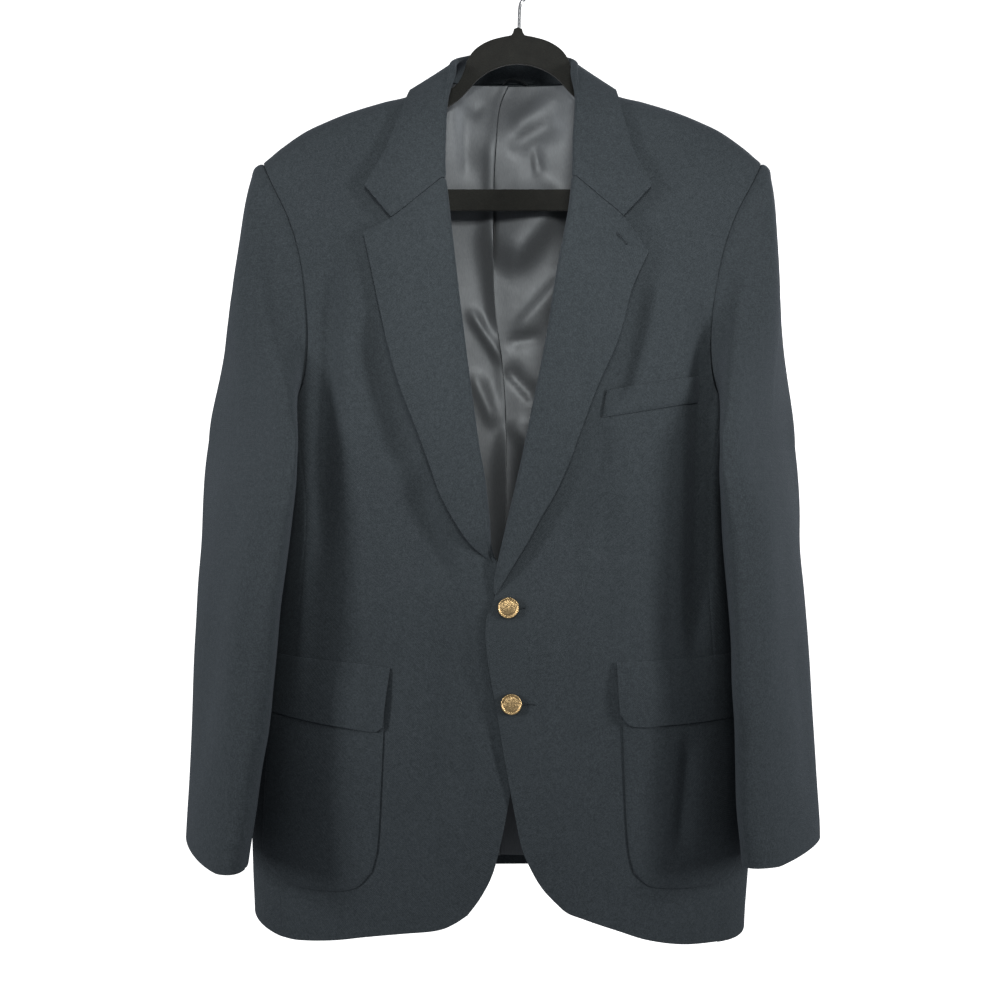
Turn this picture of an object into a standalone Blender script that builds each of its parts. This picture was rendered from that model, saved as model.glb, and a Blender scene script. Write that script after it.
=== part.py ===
"""Navy patch-pocket blazer on its slim hanger, buttoned, as it hangs.

Metres, +Z up, the front faces -Y, +X is the viewer's right.
The origin is where the hook's wire rests on a rail.
Sizes in the tables are millimetres, measured before the coat's lean is added.
"""
import math

import bmesh
import bpy
from mathutils import Vector

MM = 0.001
GAP = 0.3                 # clear gap between pieces that meet
WALL_FRONT = 2.4          # wool, canvas and facing together
WALL_BACK = 1.8
WALL_SLEEVE = 1.6
WALL_LINING = 1.0
WALL_POCKET = 1.8
WALL_WELT = 1.6
ROLL_INSIDE = 1.9         # inside radius of the lapel and collar folds
ROLL_OUTSIDE = ROLL_INSIDE + WALL_FRONT
LEAN_SLOPE = 0.0165       # the coat hangs a little off plumb
LEAN_AT_HOOK = -1.5
SHOULDER_RADIUS = 27.0    # roundness over the shoulder seam
NECK_DEPTH = 44.5         # the neck stands back from the shoulder seam by this
CHEST_RUN = 210.0         # drop over which the chest fills out
FLATNESS = 0.8            # under 1 makes the body section squarer than an ellipse
SHOULDER_END = 248.0
VENT_TOP = -690.0
VENT_LAP = 34.0
UNDERLAP = 3.5            # the lower front lies this much deeper under the upper
UNDERLAP_RUN = 20.0
UNDERLAP_REACH = 34.0
UNDERLAP_TOP = -552.0
UNDERLAP_EASE = 35.0
NECK_POINT_X = 75.0
NECK_POINT_Z = -119.5
NECK_RISE_Z = -190.0          # the back neck's backward curve begins here
NECK_RISE_RUN = 70.0
FOLDS_BELOW_SHOULDER = 90.0   # folds grow to full height over this drop
FOLDS_FROM_SIDE = 14.0        # and die away this near the side
STEEPEST = 2.5                # largest slope used when a piece is laid on a front
ROLL_TUCK = 1.3               # the front's edge stops this far inside the lapel's roll
SIDE_CLEAR = 8.0              # hem points nearer the side seam than this are left out
SHOULDER_ROWS = (0.55, 0.85, 0.97)
SEAM_END = 0.5                # fronts and backs stop this far from the shoulder seam
HOLE_LENGTH = 24.0            # buttonholes: a long slot from just behind the shank
HOLE_FORE = 10.0
HOLE_WIDTH = 2.6
HOLE_DEEP = 14.0
HOLE_MIDDLE_Y = -74.0
WIRE_RADIUS = 1.7
HOOK_RADIUS = 19.0

# z, half width, front depth, back depth
BODY = [
    (-1000, 246, 67, 55), (-960, 244, 68, 56), (-900, 247, 69, 57), (-860, 248, 70, 58),
    (-760, 240, 71, 60), (-600, 226, 71, 62), (-540, 224, 71, 62), (-458, 237, 70, 60),
    (-380, 250, 68, 58),
    (-300, 262, 66, 54), (-200, 270, 64, 50), (-60, 270, 62, 48)]
# x, z along the shoulder seam
SHOULDER = [(0, -102), (75, -119.5), (103, -134), (129, -140.5), (163, -149.5), (190, -161),
            (208, -169), (230, -184), (240, -192), (250, -200.5), (270, -235)]
# angle round the armhole from the shoulder (90 front, 180 under, 270 back), x, z
ARMHOLE = [
    (-20, 236, -226), (0, 247, -199.5), (20, 236, -226), (40, 218, -262), (60, 205, -302),
    (80, 197, -350), (100, 195, -395), (120, 201, -430), (150, 221, -452), (180, 236.8, -459),
    (210, 222, -453), (240, 202, -431), (260, 199, -395), (280, 201, -350), (300, 207, -302),
    (320, 219, -262), (340, 236, -226), (360, 247, -199.5), (380, 236, -226)]
FRONT_SEAM = 132          # armhole angle where the side panel's seams run down
BACK_SEAM = 240
# front edge of each front from its rounded corner up to the neck point: x, z
EDGE_LEFT = [
    (51, -920), (40, -908), (30.5, -893), (20, -870), (12, -835), (4, -795), (-6, -742),
    (-13.4, -704), (-17.5, -668), (-15, -645), (-8, -625), (-4.5, -604), (3.5, -563),
    (15, -513), (21.5, -480), (39, -385), (49, -319), (59, -259), (64.2, -222),
    (64.5, -206), (65.8, -180), (69, -150), (73, -130), (NECK_POINT_X, NECK_POINT_Z)]
EDGE_RIGHT = [
    (-31, -933), (-20, -918), (-9, -897), (-2, -872), (4, -841), (9, -810), (17, -760),
    (24, -715), (27, -672), (23, -645), (10, -626), (-9, -611), (-19.5, -597),
    (-19.5, -586), (-21, -556),
    (-25.5, -520), (-33, -480), (-50, -366), (-59, -299), (-67, -238), (-71.9, -220),
    (-71.9, -180), (-72, -150), (-74, -130), (-NECK_POINT_X, NECK_POINT_Z)]
HEM_LEFT = [(241, -967), (228, -968.5), (208, -968), (176, -966), (141, -959.5), (111, -949),
            (94, -943), (77, -936.6), (63.5, -931), (51, -920)]
HEM_RIGHT = [(-241, -962), (-226, -963), (-196, -963.5), (-160, -961), (-127, -956),
             (-90, -951.5), (-65.6, -949), (-53, -946), (-42, -940.5), (-31, -933)]
HEM_BACK = -915.0
BACK_HEM_BEND = (110, -916)          # the back hem dips a little half way out
BACK_NECK = [(58, -114.5), (34, -110.5)]
BACK_NECK_MIDDLE = -109.5
LAP_TOP = VENT_TOP - 10              # the vent's underlap opens out over this run
LAP_RUN = 14.0
LAP_EDGE = 22.0
LAP_WIDTH = 18.0
LAP_DEPTH_TOP = VENT_TOP + 50
LAP_DEPTH_RUN = 40.0
LAP_GAP = 1.0
SIDE_HEM = {1: -967.5, -1: -962.0}   # hem where each front meets its side panel
SIDE_RISE = {1: 2.2, -1: 1.1}        # how late each side's hem rises to the back
# lapels: roll line and outer edge from the break up, then the gorge: x, z
ROLL_LEFT = [(-13.5, -622), (-9.5, -604), (-1.5, -566), (10, -513), (16.5, -480), (34, -385),
             (43.5, -319), (54, -259), (57.5, -225)]
ROLL_RIGHT = [(-13, -586), (-16, -556), (-20.5, -520), (-28, -480), (-45, -366),
              (-54, -299), (-62, -238), (-64, -226.5)]
LAPEL_LEFT = [(-7, -626), (0.5, -611), (12.3, -590.6), (21.6, -575), (33.5, -552), (44.6, -533),
              (58.4, -502), (66, -480), (84, -430), (103, -385), (116, -336), (132, -299)]
LAPEL_RIGHT = [(-21, -591), (-32.6, -581), (-45.3, -564), (-63, -533), (-74, -504),
               (-89, -465), (-104, -428), (-117, -385), (-134, -314), (-142.5, -280)]
GORGE_LEFT = [(61.8, -225), (83, -243.5), (107.6, -264.7), (132, -299)]
GORGE_RIGHT = [(-68.3, -226.5), (-90, -244.5), (-116.1, -265.5), (-142.5, -280)]
# how far each lapel stands off the chest, by share of the way up
LIFT_LEFT = [(0, 0.5), (0.2, 2.5), (0.55, 6.0), (0.85, 3.5), (1, 1.5)]
LIFT_RIGHT = [(0, 0.5), (0.2, 3.0), (0.5, 6.0), (0.85, 3.0), (1, 1.0)]
LIFT_WIDTH = 0.75                    # where across the lapel it stands highest
GORGE_FROM = 0.6                     # the rows begin to follow the gorge's bend here
# collar from the wearer's right gorge round the neck to the left gorge.
# share of the way, neck seam x y z, fold x y z, edge x y z, fall side x y z
COLLAR = [
    (0.00, -69, -43, -221, -64, -47, -221, -143, -46, -232, 0, -1, 0),
    (0.06, -69, -38, -206, -65, -42.5, -206, -135, -43, -217, 0, -1, 0),
    (0.14, -69, -31, -177, -65, -36.5, -175, -123.5, -38, -194, -0.1, -1, 0),
    (0.20, -69.5, -27.5, -150.5, -64, -32.5, -145, -110.5, -32.5, -158.5, -0.5, -1, 0),
    (0.25, -69, -15.5, -123.5, -60.5, -17, -112, -103, -15.5, -132, -1, -0.3, 0),
    (0.29, -69.5, 0, -116, -60.2, -2, -98, -101, 4, -128.5, -1, 0, 0),
    (0.36, -57, 29, -112, -48, 28, -84, -76, 34, -127, -0.7, 0.7, 0),
    (0.43, -30, 41, -109, -27, 39, -77, -36, 47.5, -119, -0.25, 1, 0),
    (0.50, 0, 44, -108, 0, 42, -75, 0, 51, -117, 0, 1, 0)]
NOTCH = (-117, -58, -264)  # where the collar's end meets the lapel's gorge corner
NOTCH_SHARE = 0.6          # of the way down the fall
COLLAR_BOW = 4.5           # how far the fall arches out
NOTCH_RUN = 0.12           # share of the collar over which its end straightens out
COLLAR_FLAT = 0.6          # how much flatter the fall lies round the back
COLLAR_PULL = 7.0          # the left end sits this much nearer the middle
PULL_FROM = 0.7
PULL_RUN = 0.2
# sleeve rings: z, centre x, centre y, half length, half thickness, turn in degrees
SLEEVE_RIGHT = [
    (-492, -252, -19, 88, 17.5, 36.5), (-518, -253.5, -19, 88, 23, 35.5),
    (-557, -256, -23, 86, 27, 34), (-596, -258.5, -27, 84, 27, 33.5),
    (-635, -261.5, -31, 82, 27, 33), (-674, -263, -34, 81, 27, 32.5),
    (-713, -264.5, -38, 79, 27, 32), (-751, -265.5, -42, 77, 27, 31),
    (-789, -268, -46, 75, 27, 28), (-827, -270, -50, 73, 27, 26),
    (-855, -272, -53, 72, 27, 24), (-876, -273.5, -54, 71, 27, 22.5)]
SLEEVE_LEFT = [
    (-492, 247.5, -19, 88, 16, 32), (-518, 248.5, -19, 88, 21.5, 31),
    (-557, 251, -23, 86, 26, 29), (-596, 253, -27, 84, 26, 29),
    (-635, 256.5, -31, 82, 26, 30), (-674, 259.5, -34, 81, 26, 30.5),
    (-713, 261, -38, 79, 26, 32), (-751, 263, -42, 77, 26, 32.5),
    (-789, 264.5, -46, 75, 26, 34), (-827, 266, -50, 73, 26, 35.5),
    (-865, 269, -54, 71, 26, 35.5), (-880, 270, -54, 71, 26, 35)]
CUFF_SLOPE = {1: -0.06, -1: 0.07}   # rise of each sleeve's rings towards the back
CUFF_RISE = {1: 0.22, -1: 0.2}      # rise of their outer side
CUFF_RISE_FROM = 12.0               # how far inside the middle the rise begins
FULLNESS = {1: 4.5, -1: 8.5}        # how far the upper arm fills out over the padding
FULLNESS_Z = -352.0
FULLNESS_RUN = 62.0
HEAD_GAP = 0.9                       # sleeve head off the armhole at the top
ARMPIT_GAP = 2.1                     # and this much more under the arm
LEAVE_LOW = -0.75                    # how the cloth leaves the seam: straight down below,
LEAVE_RISE = 0.45                    # nearly level over the top
HEAD_REACH = 0.3
HEAD_SHORTER = 0.64
RING_REACH = 0.36
RING_TUCK = 2.0
SLEEVE_SEAM = 126                    # angles of the two seams down each sleeve
SLEEVE_SEAM_BACK = -108
SEAM_INSET = 0.6                     # degrees left free at each side of a seam
# soft folds in the fronts: x at the top, x at the bottom, z top, z bottom, width, height
FOLDS_LEFT = [
    (180, 176, -250, -860, 15, 6), (208, 202, -300, -800, 16, -4), (90, 100, -560, -800, 20, -4),
    (128, 84, -330, -560, 20, -4), (60, 70, -600, -900, 26, 3)]
FOLDS_RIGHT = [
    (-160, -166, -260, -620, 17, -5), (-186, -190, -250, -700, 16, 5),
    (-122, -70, -330, -560, 18, -4), (-70, -20, -650, -800, 18, -4), (-96, -60, -640, -860, 20, 4)]
FOLDS_BACK = [
    (-90, -70, -200, -860, 30, 4), (95, 70, -220, -820, 32, 4), (-160, -150, -260, -880, 22, -4),
    (165, 150, -260, -880, 22, -4)]
# patch pocket and flap outlines, x and z per side
FLAP_RIGHT = {
    "bottom": [(-212, -748), (-165, -753.5), (-121, -758.5), (-114, -754)],
    "top": [(-206, -689), (-173.6, -691.6), (-108.4, -697.3)]}
FLAP_LEFT = {
    "bottom": [(212, -750), (160, -753), (122, -752.5), (111.5, -741)],
    "top": [(206, -688), (180, -690), (107.5, -692)]}
PATCH_RIGHT = {
    "bottom": [(-216, -884), (-210, -904), (-192, -911.8), (-156.5, -912.8), (-137, -908),
               (-123, -893)],
    "top": [(-210, -735), (-170, -738), (-113.5, -741)],
    "outer": [(-216, -884), (-213, -800), (-210, -735)],
    "inner": [(-123, -893), (-118, -870), (-115, -800), (-113.5, -741)]}
PATCH_LEFT = {
    "bottom": [(216, -884), (210, -904), (192, -911), (155, -910), (141, -906.6),
               (127, -894)],
    "top": [(210, -735), (170, -736), (113.5, -736)],
    "outer": [(216, -884), (213, -800), (210, -735)],
    "inner": [(127, -894), (122, -874), (118, -831), (113.5, -736)]}
WELT = {"bottom": [(89, -459), (179, -444)], "top": [(93, -433), (175, -419)]}
POCKET_EASE = 0.2          # pockets lie this much off the front besides the gap
PATCH_SWELL = 1.2          # the patches stand out by this half way up
FLAP_LIFT = 1.6            # the flaps' lower edges hang free by this
FLAP_DROP = 3.4            # and their tops come in by this
BUTTONS = {"button_top": (3.0, -639.6), "button_bottom": (7.3, -731.0)}
# half section of a button, radius and height above the cloth
BUTTON_PROFILE = [(0, 4.6), (6.5, 4.2), (8.2, 3.9), (8.8, 4.4), (9.6, 4.3), (10.0, 3.4),
                  (9.2, 2.0), (1.1, 0.9), (1.1, -2.9), (0, -2.9)]
LINING_TOP = -115.0
LINING_HEM = -885.0
LINING_TOP_DROP = 22.0     # its top edge falls by this towards the shoulders
LINING_HALF = 168.0
LINING_OFF = 6.6           # it hangs this far inside the back
PLEAT_DEPTH = 5.0
PLEAT_WIDTH = 16.0
LOOP_LINE = [(-10, 34.6, -119), (-9, 35.2, -110), (-4, 35.6, -105), (4, 35.6, -105.5),
             (12, 35.2, -110), (15, 34.6, -118)]
LOOP_RADIUS = 1.1
# hanger: upper edge and lower edge of its right half, x, z
HANGER_UPPER = [
    (1, -74), (14, -75), (30, -79.5), (43, -87.5), (50, -97), (54, -109), (60, -121),
    (69, -128), (100, -142), (150, -167), (200, -192.5), (222, -206), (231, -219),
    (232, -232), (226, -243), (215, -247)]
HANGER_LOWER = [
    (1, -100), (14, -101.5), (30, -107.5), (42, -116), (52, -127), (62, -137), (78, -147),
    (110, -163), (150, -183), (190, -202), (212, -215), (214, -222), (207, -228)]
HANGER_HALF = 2.5
HANGER_EDGE = 0.8          # its rounded edges
HANGER_MIDDLE = 2.0        # the two halves mirror about half this
SHANK = [(4.5, 0, -39), (3, 0, -44), (2.5, 0, -52), (2, 0, -73.2)]

COLOURS = {
    "wool": ((0.045, 0.053, 0.066), 0.85, 0.0), "satin": ((0.13, 0.15, 0.165), 0.35, 0.0),
    "brass": ((0.72, 0.52, 0.24), 0.3, 1.0), "flock": ((0.012, 0.012, 0.011), 0.95, 0.0),
    "wire": ((0.8, 0.8, 0.8), 0.2, 1.0)}


def clear_file():
    for ob in list(bpy.data.objects):
        bpy.data.objects.remove(ob, do_unlink=True)


def smooth(rows, key):
    """Every column of a table at this key, by an even cubic through its rows."""
    rows = sorted(rows)
    if key <= rows[0][0]:
        return rows[0][1:]
    if key >= rows[-1][0]:
        return rows[-1][1:]
    i = max(k for k in range(len(rows) - 1) if rows[k][0] <= key)
    before, a, b = rows[max(i - 1, 0)], rows[i], rows[i + 1]
    after = rows[min(i + 2, len(rows) - 1)]
    span = b[0] - a[0]
    t = (key - a[0]) / span
    out = []
    for c in range(1, len(a)):
        ma = (b[c] - before[c]) / (b[0] - before[0]) * span
        mb = (after[c] - a[c]) / (after[0] - a[0]) * span
        out.append((2 * t ** 3 - 3 * t ** 2 + 1) * a[c] + (t ** 3 - 2 * t ** 2 + t) * ma
                   + (3 * t ** 2 - 2 * t ** 3) * b[c] + (t ** 3 - t ** 2) * mb)
    return tuple(out)


def along(points, count):
    """Count points at even lengths along a smooth line through the points."""
    run = [0.0]
    for p, q in zip(points, points[1:]):
        run.append(run[-1] + math.dist(p, q))
    rows = [(r,) + tuple(p) for r, p in zip(run, points)]
    return [smooth(rows, run[-1] * k / (count - 1)) for k in range(count)]


def ease(t):
    t = min(max(t, 0.0), 1.0)
    return t * t * (3 - 2 * t)


def lean(z):
    return LEAN_SLOPE * z + LEAN_AT_HOOK


def shoulder_z(x):
    return smooth(SHOULDER, abs(x))[0]


def fold_height(folds, x, z):
    total = 0.0
    calm = ease((shoulder_z(x) - z) / FOLDS_BELOW_SHOULDER)
    calm *= ease((smooth(BODY, z)[0] - abs(x)) / FOLDS_FROM_SIDE)
    for x_top, x_low, z_top, z_low, width, height in folds:
        share = (z_top - z) / (z_top - z_low)
        if 0 < share < 1:
            middle = x_top + (x_low - x_top) * share
            ends = min(1.0, 4 * share * (1 - share) * 1.6)
            total += height * ends * math.exp(-((x - middle) / width) ** 2)
    return total * calm


def body_depth(x, z, front):
    """How far the cloth stands from the middle plane at this place."""
    half, fore, aft = smooth(BODY, z)
    sine = min(abs(x) / half, 1.0)
    full = (fore if front else aft) * max(1 - sine * sine, 0.0) ** (FLATNESS / 2)
    drop = shoulder_z(x) - z
    if drop < CHEST_RUN and abs(x) < SHOULDER_END + 2:
        near = min(max(drop, 0.0), SHOULDER_RADIUS) / SHOULDER_RADIUS
        round_over = SHOULDER_RADIUS * math.sqrt(max(1 - (1 - near) ** 2, 0.0))
        full = round_over + (full - SHOULDER_RADIUS) * ease(drop / CHEST_RUN) * near
    return full


def underlap(x, z):
    """The wearer's right front sinks under the left one where they cross."""
    edge = smooth([(row[1], row[0]) for row in EDGE_LEFT], z)[0]
    below = ease((UNDERLAP_TOP - z) / UNDERLAP_EASE)
    return UNDERLAP * below * ease((x - edge + UNDERLAP_REACH) / UNDERLAP_RUN)


def face_at(panel, x, z, out=0.0):
    """Point on the outer face of a panel, moved out by so many millimetres."""
    front = panel.startswith("front")
    depth = body_depth(x, z, front)
    if panel == "front_left":
        depth += fold_height(FOLDS_LEFT, x, z)
    if panel == "front_right":
        depth += fold_height(FOLDS_RIGHT, x, z) - underlap(x, z)
    if not front:
        depth += fold_height(FOLDS_BACK, x, z)
        neck = max(0.0, 1 - abs(x) / NECK_POINT_X)
        rise = NECK_DEPTH * math.sqrt(1 - (1 - neck) ** 2)
        depth += (max(rise, depth) - depth) * ease((z - NECK_RISE_Z) / NECK_RISE_RUN)
    if not out:
        return Vector((x, -depth if front else depth, z))
    step = 2.0
    slope_x = (body_depth(x + step, z, front) - body_depth(x - step, z, front)) / (2 * step)
    slope_z = (body_depth(x, z + step, front) - body_depth(x, z - step, front)) / (2 * step)
    slope_x = max(-STEEPEST, min(STEEPEST, slope_x))
    slope_z = max(-STEEPEST, min(STEEPEST, slope_z))
    turn = Vector((-slope_x, -1 if front else 1, -slope_z)).normalized()
    return Vector((x, -depth if front else depth, z)) + turn * out


def side_at(angle, z):
    """Point on the body's side; 0 is straight ahead, 90 the side, 180 the back."""
    half, fore, aft = smooth(BODY, z)
    turn = math.radians(angle)
    reach = abs(math.cos(turn)) ** FLATNESS
    depth = fore if angle < 90 else -aft
    return Vector((half * math.sin(turn), -depth * reach, z))


def armhole_at(angle, sign):
    x, z = smooth(ARMHOLE, angle)
    front = angle <= 180
    return face_at("front" if front else "back", sign * x, z)


def coons(bottom, top, outer, inner, across, up):
    """Grid of (x, z) between four edges; outer and inner run from the bottom up."""
    low = along(bottom, across)
    high = along(top, across)
    first = along(outer, up) if len(outer) != up else outer
    last = along(inner, up) if len(inner) != up else inner
    grid = []
    for j in range(up):
        v = j / (up - 1)
        row = []
        for i in range(across):
            u = i / (across - 1)
            point = []
            for c in (0, 1):
                edges = (1 - v) * low[i][c] + v * high[i][c]
                edges += (1 - u) * first[j][c] + u * last[j][c]
                corners = (1 - u) * (1 - v) * low[0][c] + u * (1 - v) * low[-1][c]
                corners += (1 - u) * v * high[0][c] + u * v * high[-1][c]
                point.append(edges - corners)
            row.append(tuple(point))
        grid.append(row)
    return grid


def material(slot, name):
    colour, rough, metal = COLOURS[slot]
    mat = bpy.data.materials.new(name + "_" + slot)
    mat.use_nodes = True
    shader = mat.node_tree.nodes["Principled BSDF"]
    shader.inputs["Base Color"].default_value = colour + (1.0,)
    shader.inputs["Roughness"].default_value = rough
    shader.inputs["Metallic"].default_value = metal
    mat.diffuse_color = colour + (1.0,)
    return mat


def place(name, mesh, slot):
    ob = bpy.data.objects.new(name, mesh)
    group = bpy.data.collections.new(name)
    bpy.context.scene.collection.children.link(group)
    group.objects.link(ob)
    ob.data.materials.clear()
    ob.data.materials.append(material(slot, name))
    return ob


def sheet(name, grid, wall, slot, flip=False, leaning=True):
    """A cloth wall whose outer face goes through a grid of points."""
    across = len(grid[0])
    up = len(grid)
    bm = bmesh.new()
    bmesh.ops.create_grid(bm, x_segments=across - 1, y_segments=up - 1, size=1)
    bm.verts.ensure_lookup_table()
    for j, row in enumerate(grid):
        for i, p in enumerate(row):
            x = p[0] + (lean(p[2]) if leaning else 0.0)
            bm.verts[j * across + i].co = (x * MM, p[1] * MM, p[2] * MM)
    if flip:
        bmesh.ops.reverse_faces(bm, faces=bm.faces)
    mesh = bpy.data.meshes.new(name)
    bm.to_mesh(mesh)
    bm.free()
    ob = place(name, mesh, slot)
    shell = ob.modifiers.new("wall", "SOLIDIFY")
    shell.thickness = wall * MM
    shell.offset = -1.0
    shell.use_even_offset = True
    shell.thickness_clamp = 0.0
    return ob


def cut(ob, cutter):
    hole = ob.modifiers.new("hole", "BOOLEAN")
    hole.operation = "DIFFERENCE"
    hole.solver = "EXACT"
    hole.object = cutter


def buttonhole(name, x, z):
    """Cutter for a worked buttonhole: a slot straight through the front."""
    bm = bmesh.new()
    bmesh.ops.create_cube(bm, size=1)
    for v in bm.verts:
        v.co.x = (v.co.x * HOLE_LENGTH + x + HOLE_FORE + lean(z)) * MM
        v.co.y = (v.co.y * HOLE_DEEP + HOLE_MIDDLE_Y) * MM
        v.co.z = (v.co.z * HOLE_WIDTH + z) * MM
    mesh = bpy.data.meshes.new(name)
    bm.to_mesh(mesh)
    bm.free()
    ob = bpy.data.objects.new(name, mesh)
    ob.display_type = "WIRE"
    ob.hide_render = True
    group = bpy.data.collections.get("cutters") or bpy.data.collections.new("cutters")
    if group.name not in bpy.context.scene.collection.children:
        bpy.context.scene.collection.children.link(group)
    group.objects.link(ob)
    return ob


def armhole_run(start, stop, count, sign, inset):
    """(x, z) along the armhole, set in towards the panel's own side of the seam."""
    run = []
    for k in range(count):
        angle = start + (stop - start) * k / (count - 1)
        x, z = smooth(ARMHOLE, angle)
        run.append((sign * (x - inset), z))
    return run


def turn_over_shoulder(panel, flat, grid, y_end):
    """Extra rows where the cloth rolls over the shoulder seam."""
    extra = []
    for t in SHOULDER_ROWS:
        row = []
        for p, q in zip(flat[-2], flat[-1]):
            row.append(face_at(panel, p[0] + (q[0] - p[0]) * t, p[1] + (q[1] - p[1]) * t))
        extra.append(row)
    last = [Vector((q[0], y_end, q[1])) for q in flat[-1]]
    return grid[:-1] + extra + [last]


def build_fronts():
    rows_low = 12
    rows_high = 12
    seam_x, seam_z = smooth(ARMHOLE, FRONT_SEAM)
    for name, sign, edge, hem, roll in (
            ("front_left", 1, EDGE_LEFT, HEM_LEFT, ROLL_LEFT),
            ("front_right", -1, EDGE_RIGHT, HEM_RIGHT, ROLL_RIGHT)):
        share = seam_x / smooth(BODY, seam_z)[0]
        base = hem[0][1]
        seam = []
        for k in range(rows_low):
            z = base + (seam_z - base) * k / rows_low
            seam.append((sign * (smooth(BODY, z)[0] * share - 2 * GAP), z))
        outer = seam + armhole_run(FRONT_SEAM, 0, rows_high, sign, GAP)
        low = [outer[0]] + [p for p in hem if abs(p[0]) < abs(outer[0][0]) - SIDE_CLEAR]
        tip = outer[-1]
        top = []
        for k in range(9):
            x = tip[0] + (edge[-1][0] - tip[0]) * k / 8
            top.append((x, shoulder_z(x) if k else tip[1]))
        up = rows_low + rows_high
        line = []
        for x, z in along(edge, up):
            if roll[0][1] < z < roll[-1][1]:
                x = smooth([(q[1], q[0]) for q in roll], z)[0] + sign * (ROLL_OUTSIDE + ROLL_TUCK)
            line.append((x, z))
        flat = coons(low, top, outer, line, 14, up)
        grid = []
        for row in flat:
            points = [face_at(name, x, z) for x, z in row]
            grid.append(points)
        grid = turn_over_shoulder(name, flat, grid, -SEAM_END)
        ob = sheet(name, grid, WALL_FRONT, "wool", flip=(sign > 0))
        if name == "front_left":
            for button, (x, z) in BUTTONS.items():
                cut(ob, buttonhole("hole_" + button, x, z))


def edge_share(i, count):
    """Even shares of a width, with a narrow strip at both edges."""
    if i in (0, count - 1):
        return float(i > 0)
    return 0.03 + 0.94 * (i - 1) / (count - 3)


def build_sides():
    up = 13
    across = 9
    seam_x, seam_z = smooth(ARMHOLE, FRONT_SEAM)
    share = seam_x / smooth(BODY, seam_z)[0]
    back_x, back_z = smooth(ARMHOLE, BACK_SEAM)
    share_back = back_x / smooth(BODY, back_z)[0]
    first = math.degrees(math.asin(share))
    last = 180 - math.degrees(math.asin(share_back))
    for name, sign, folds in (("side_left", 1, FOLDS_LEFT), ("side_right", -1, FOLDS_RIGHT)):
        grid = []
        for j in range(up):
            v = j / (up - 1)
            row = []
            for i in range(across):
                u = edge_share(i, across)
                angle = FRONT_SEAM + (BACK_SEAM - FRONT_SEAM) * u
                x, z_top = smooth(ARMHOLE, angle)
                near = math.degrees(math.asin(min(x / smooth(BODY, z_top)[0], 1.0)))
                top_turn = near if angle <= 180 else 180 - near
                low_turn = first + (last - first) * u
                turn = low_turn + (top_turn - low_turn) * v
                hem = SIDE_HEM[sign] + (HEM_BACK - SIDE_HEM[sign]) * u ** SIDE_RISE[sign]
                z = hem + (z_top - hem) * v
                p = side_at(turn, z)
                if turn < 90:
                    p.y -= fold_height(folds, sign * p.x, z)
                else:
                    p.y += fold_height(FOLDS_BACK, sign * p.x, z)
                row.append(Vector((sign * p.x, p.y, p.z)))
            grid.append(row)
        for row in grid:
            row[0].y += GAP * 0.6
            row[-1].y -= GAP * 0.6
        sheet(name, grid, WALL_BACK, "wool", flip=(sign < 0))


def build_backs():
    rows_low = 12
    rows_high = 11
    seam_x, seam_z = smooth(ARMHOLE, BACK_SEAM)
    share = seam_x / smooth(BODY, seam_z)[0]
    for name, sign in (("back_left", 1), ("back_right", -1)):
        base = HEM_BACK
        seam = []
        for k in range(rows_low):
            z = base + (seam_z - base) * k / rows_low
            seam.append((sign * (smooth(BODY, z)[0] * share - GAP), z))
        outer = seam + armhole_run(BACK_SEAM, 360, rows_high, sign, GAP)
        up = rows_low + rows_high
        lap = VENT_LAP if sign < 0 else 0.0
        middle = []
        for k in range(up):
            z = base + (BACK_NECK_MIDDLE - base) * k / (up - 1)
            under = ease((LAP_TOP - z) / LAP_RUN)
            middle.append((sign * GAP + lap * under, z))
        low = [outer[0], (sign * BACK_HEM_BEND[0], BACK_HEM_BEND[1]), middle[0]]
        tip = outer[-1]
        high = [tip]
        for k in range(1, 7):
            x = tip[0] + (sign * NECK_POINT_X - tip[0]) * k / 6
            high.append((x, shoulder_z(x)))
        high += [(sign * x, z) for x, z in BACK_NECK] + [middle[-1]]
        flat = coons(low, high, outer, middle, 12, up)
        grid = []
        for row in flat:
            points = []
            for x, z in row:
                p = face_at(name, x, z)
                if sign < 0:
                    under = ease((x + LAP_EDGE) / LAP_WIDTH)
                    under *= ease((LAP_DEPTH_TOP - z) / LAP_DEPTH_RUN)
                    p.y -= (WALL_BACK + LAP_GAP) * under
                points.append(p)
            grid.append(points)
        whole = turn_over_shoulder(name, flat, grid, SEAM_END)
        for i, (x, z) in enumerate(flat[-1]):
            if abs(x) < NECK_POINT_X - 1:
                whole[-1][i] = face_at(name, x, z - SEAM_END)
        sheet(name, whole, WALL_BACK, "wool", flip=(sign < 0))


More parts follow.
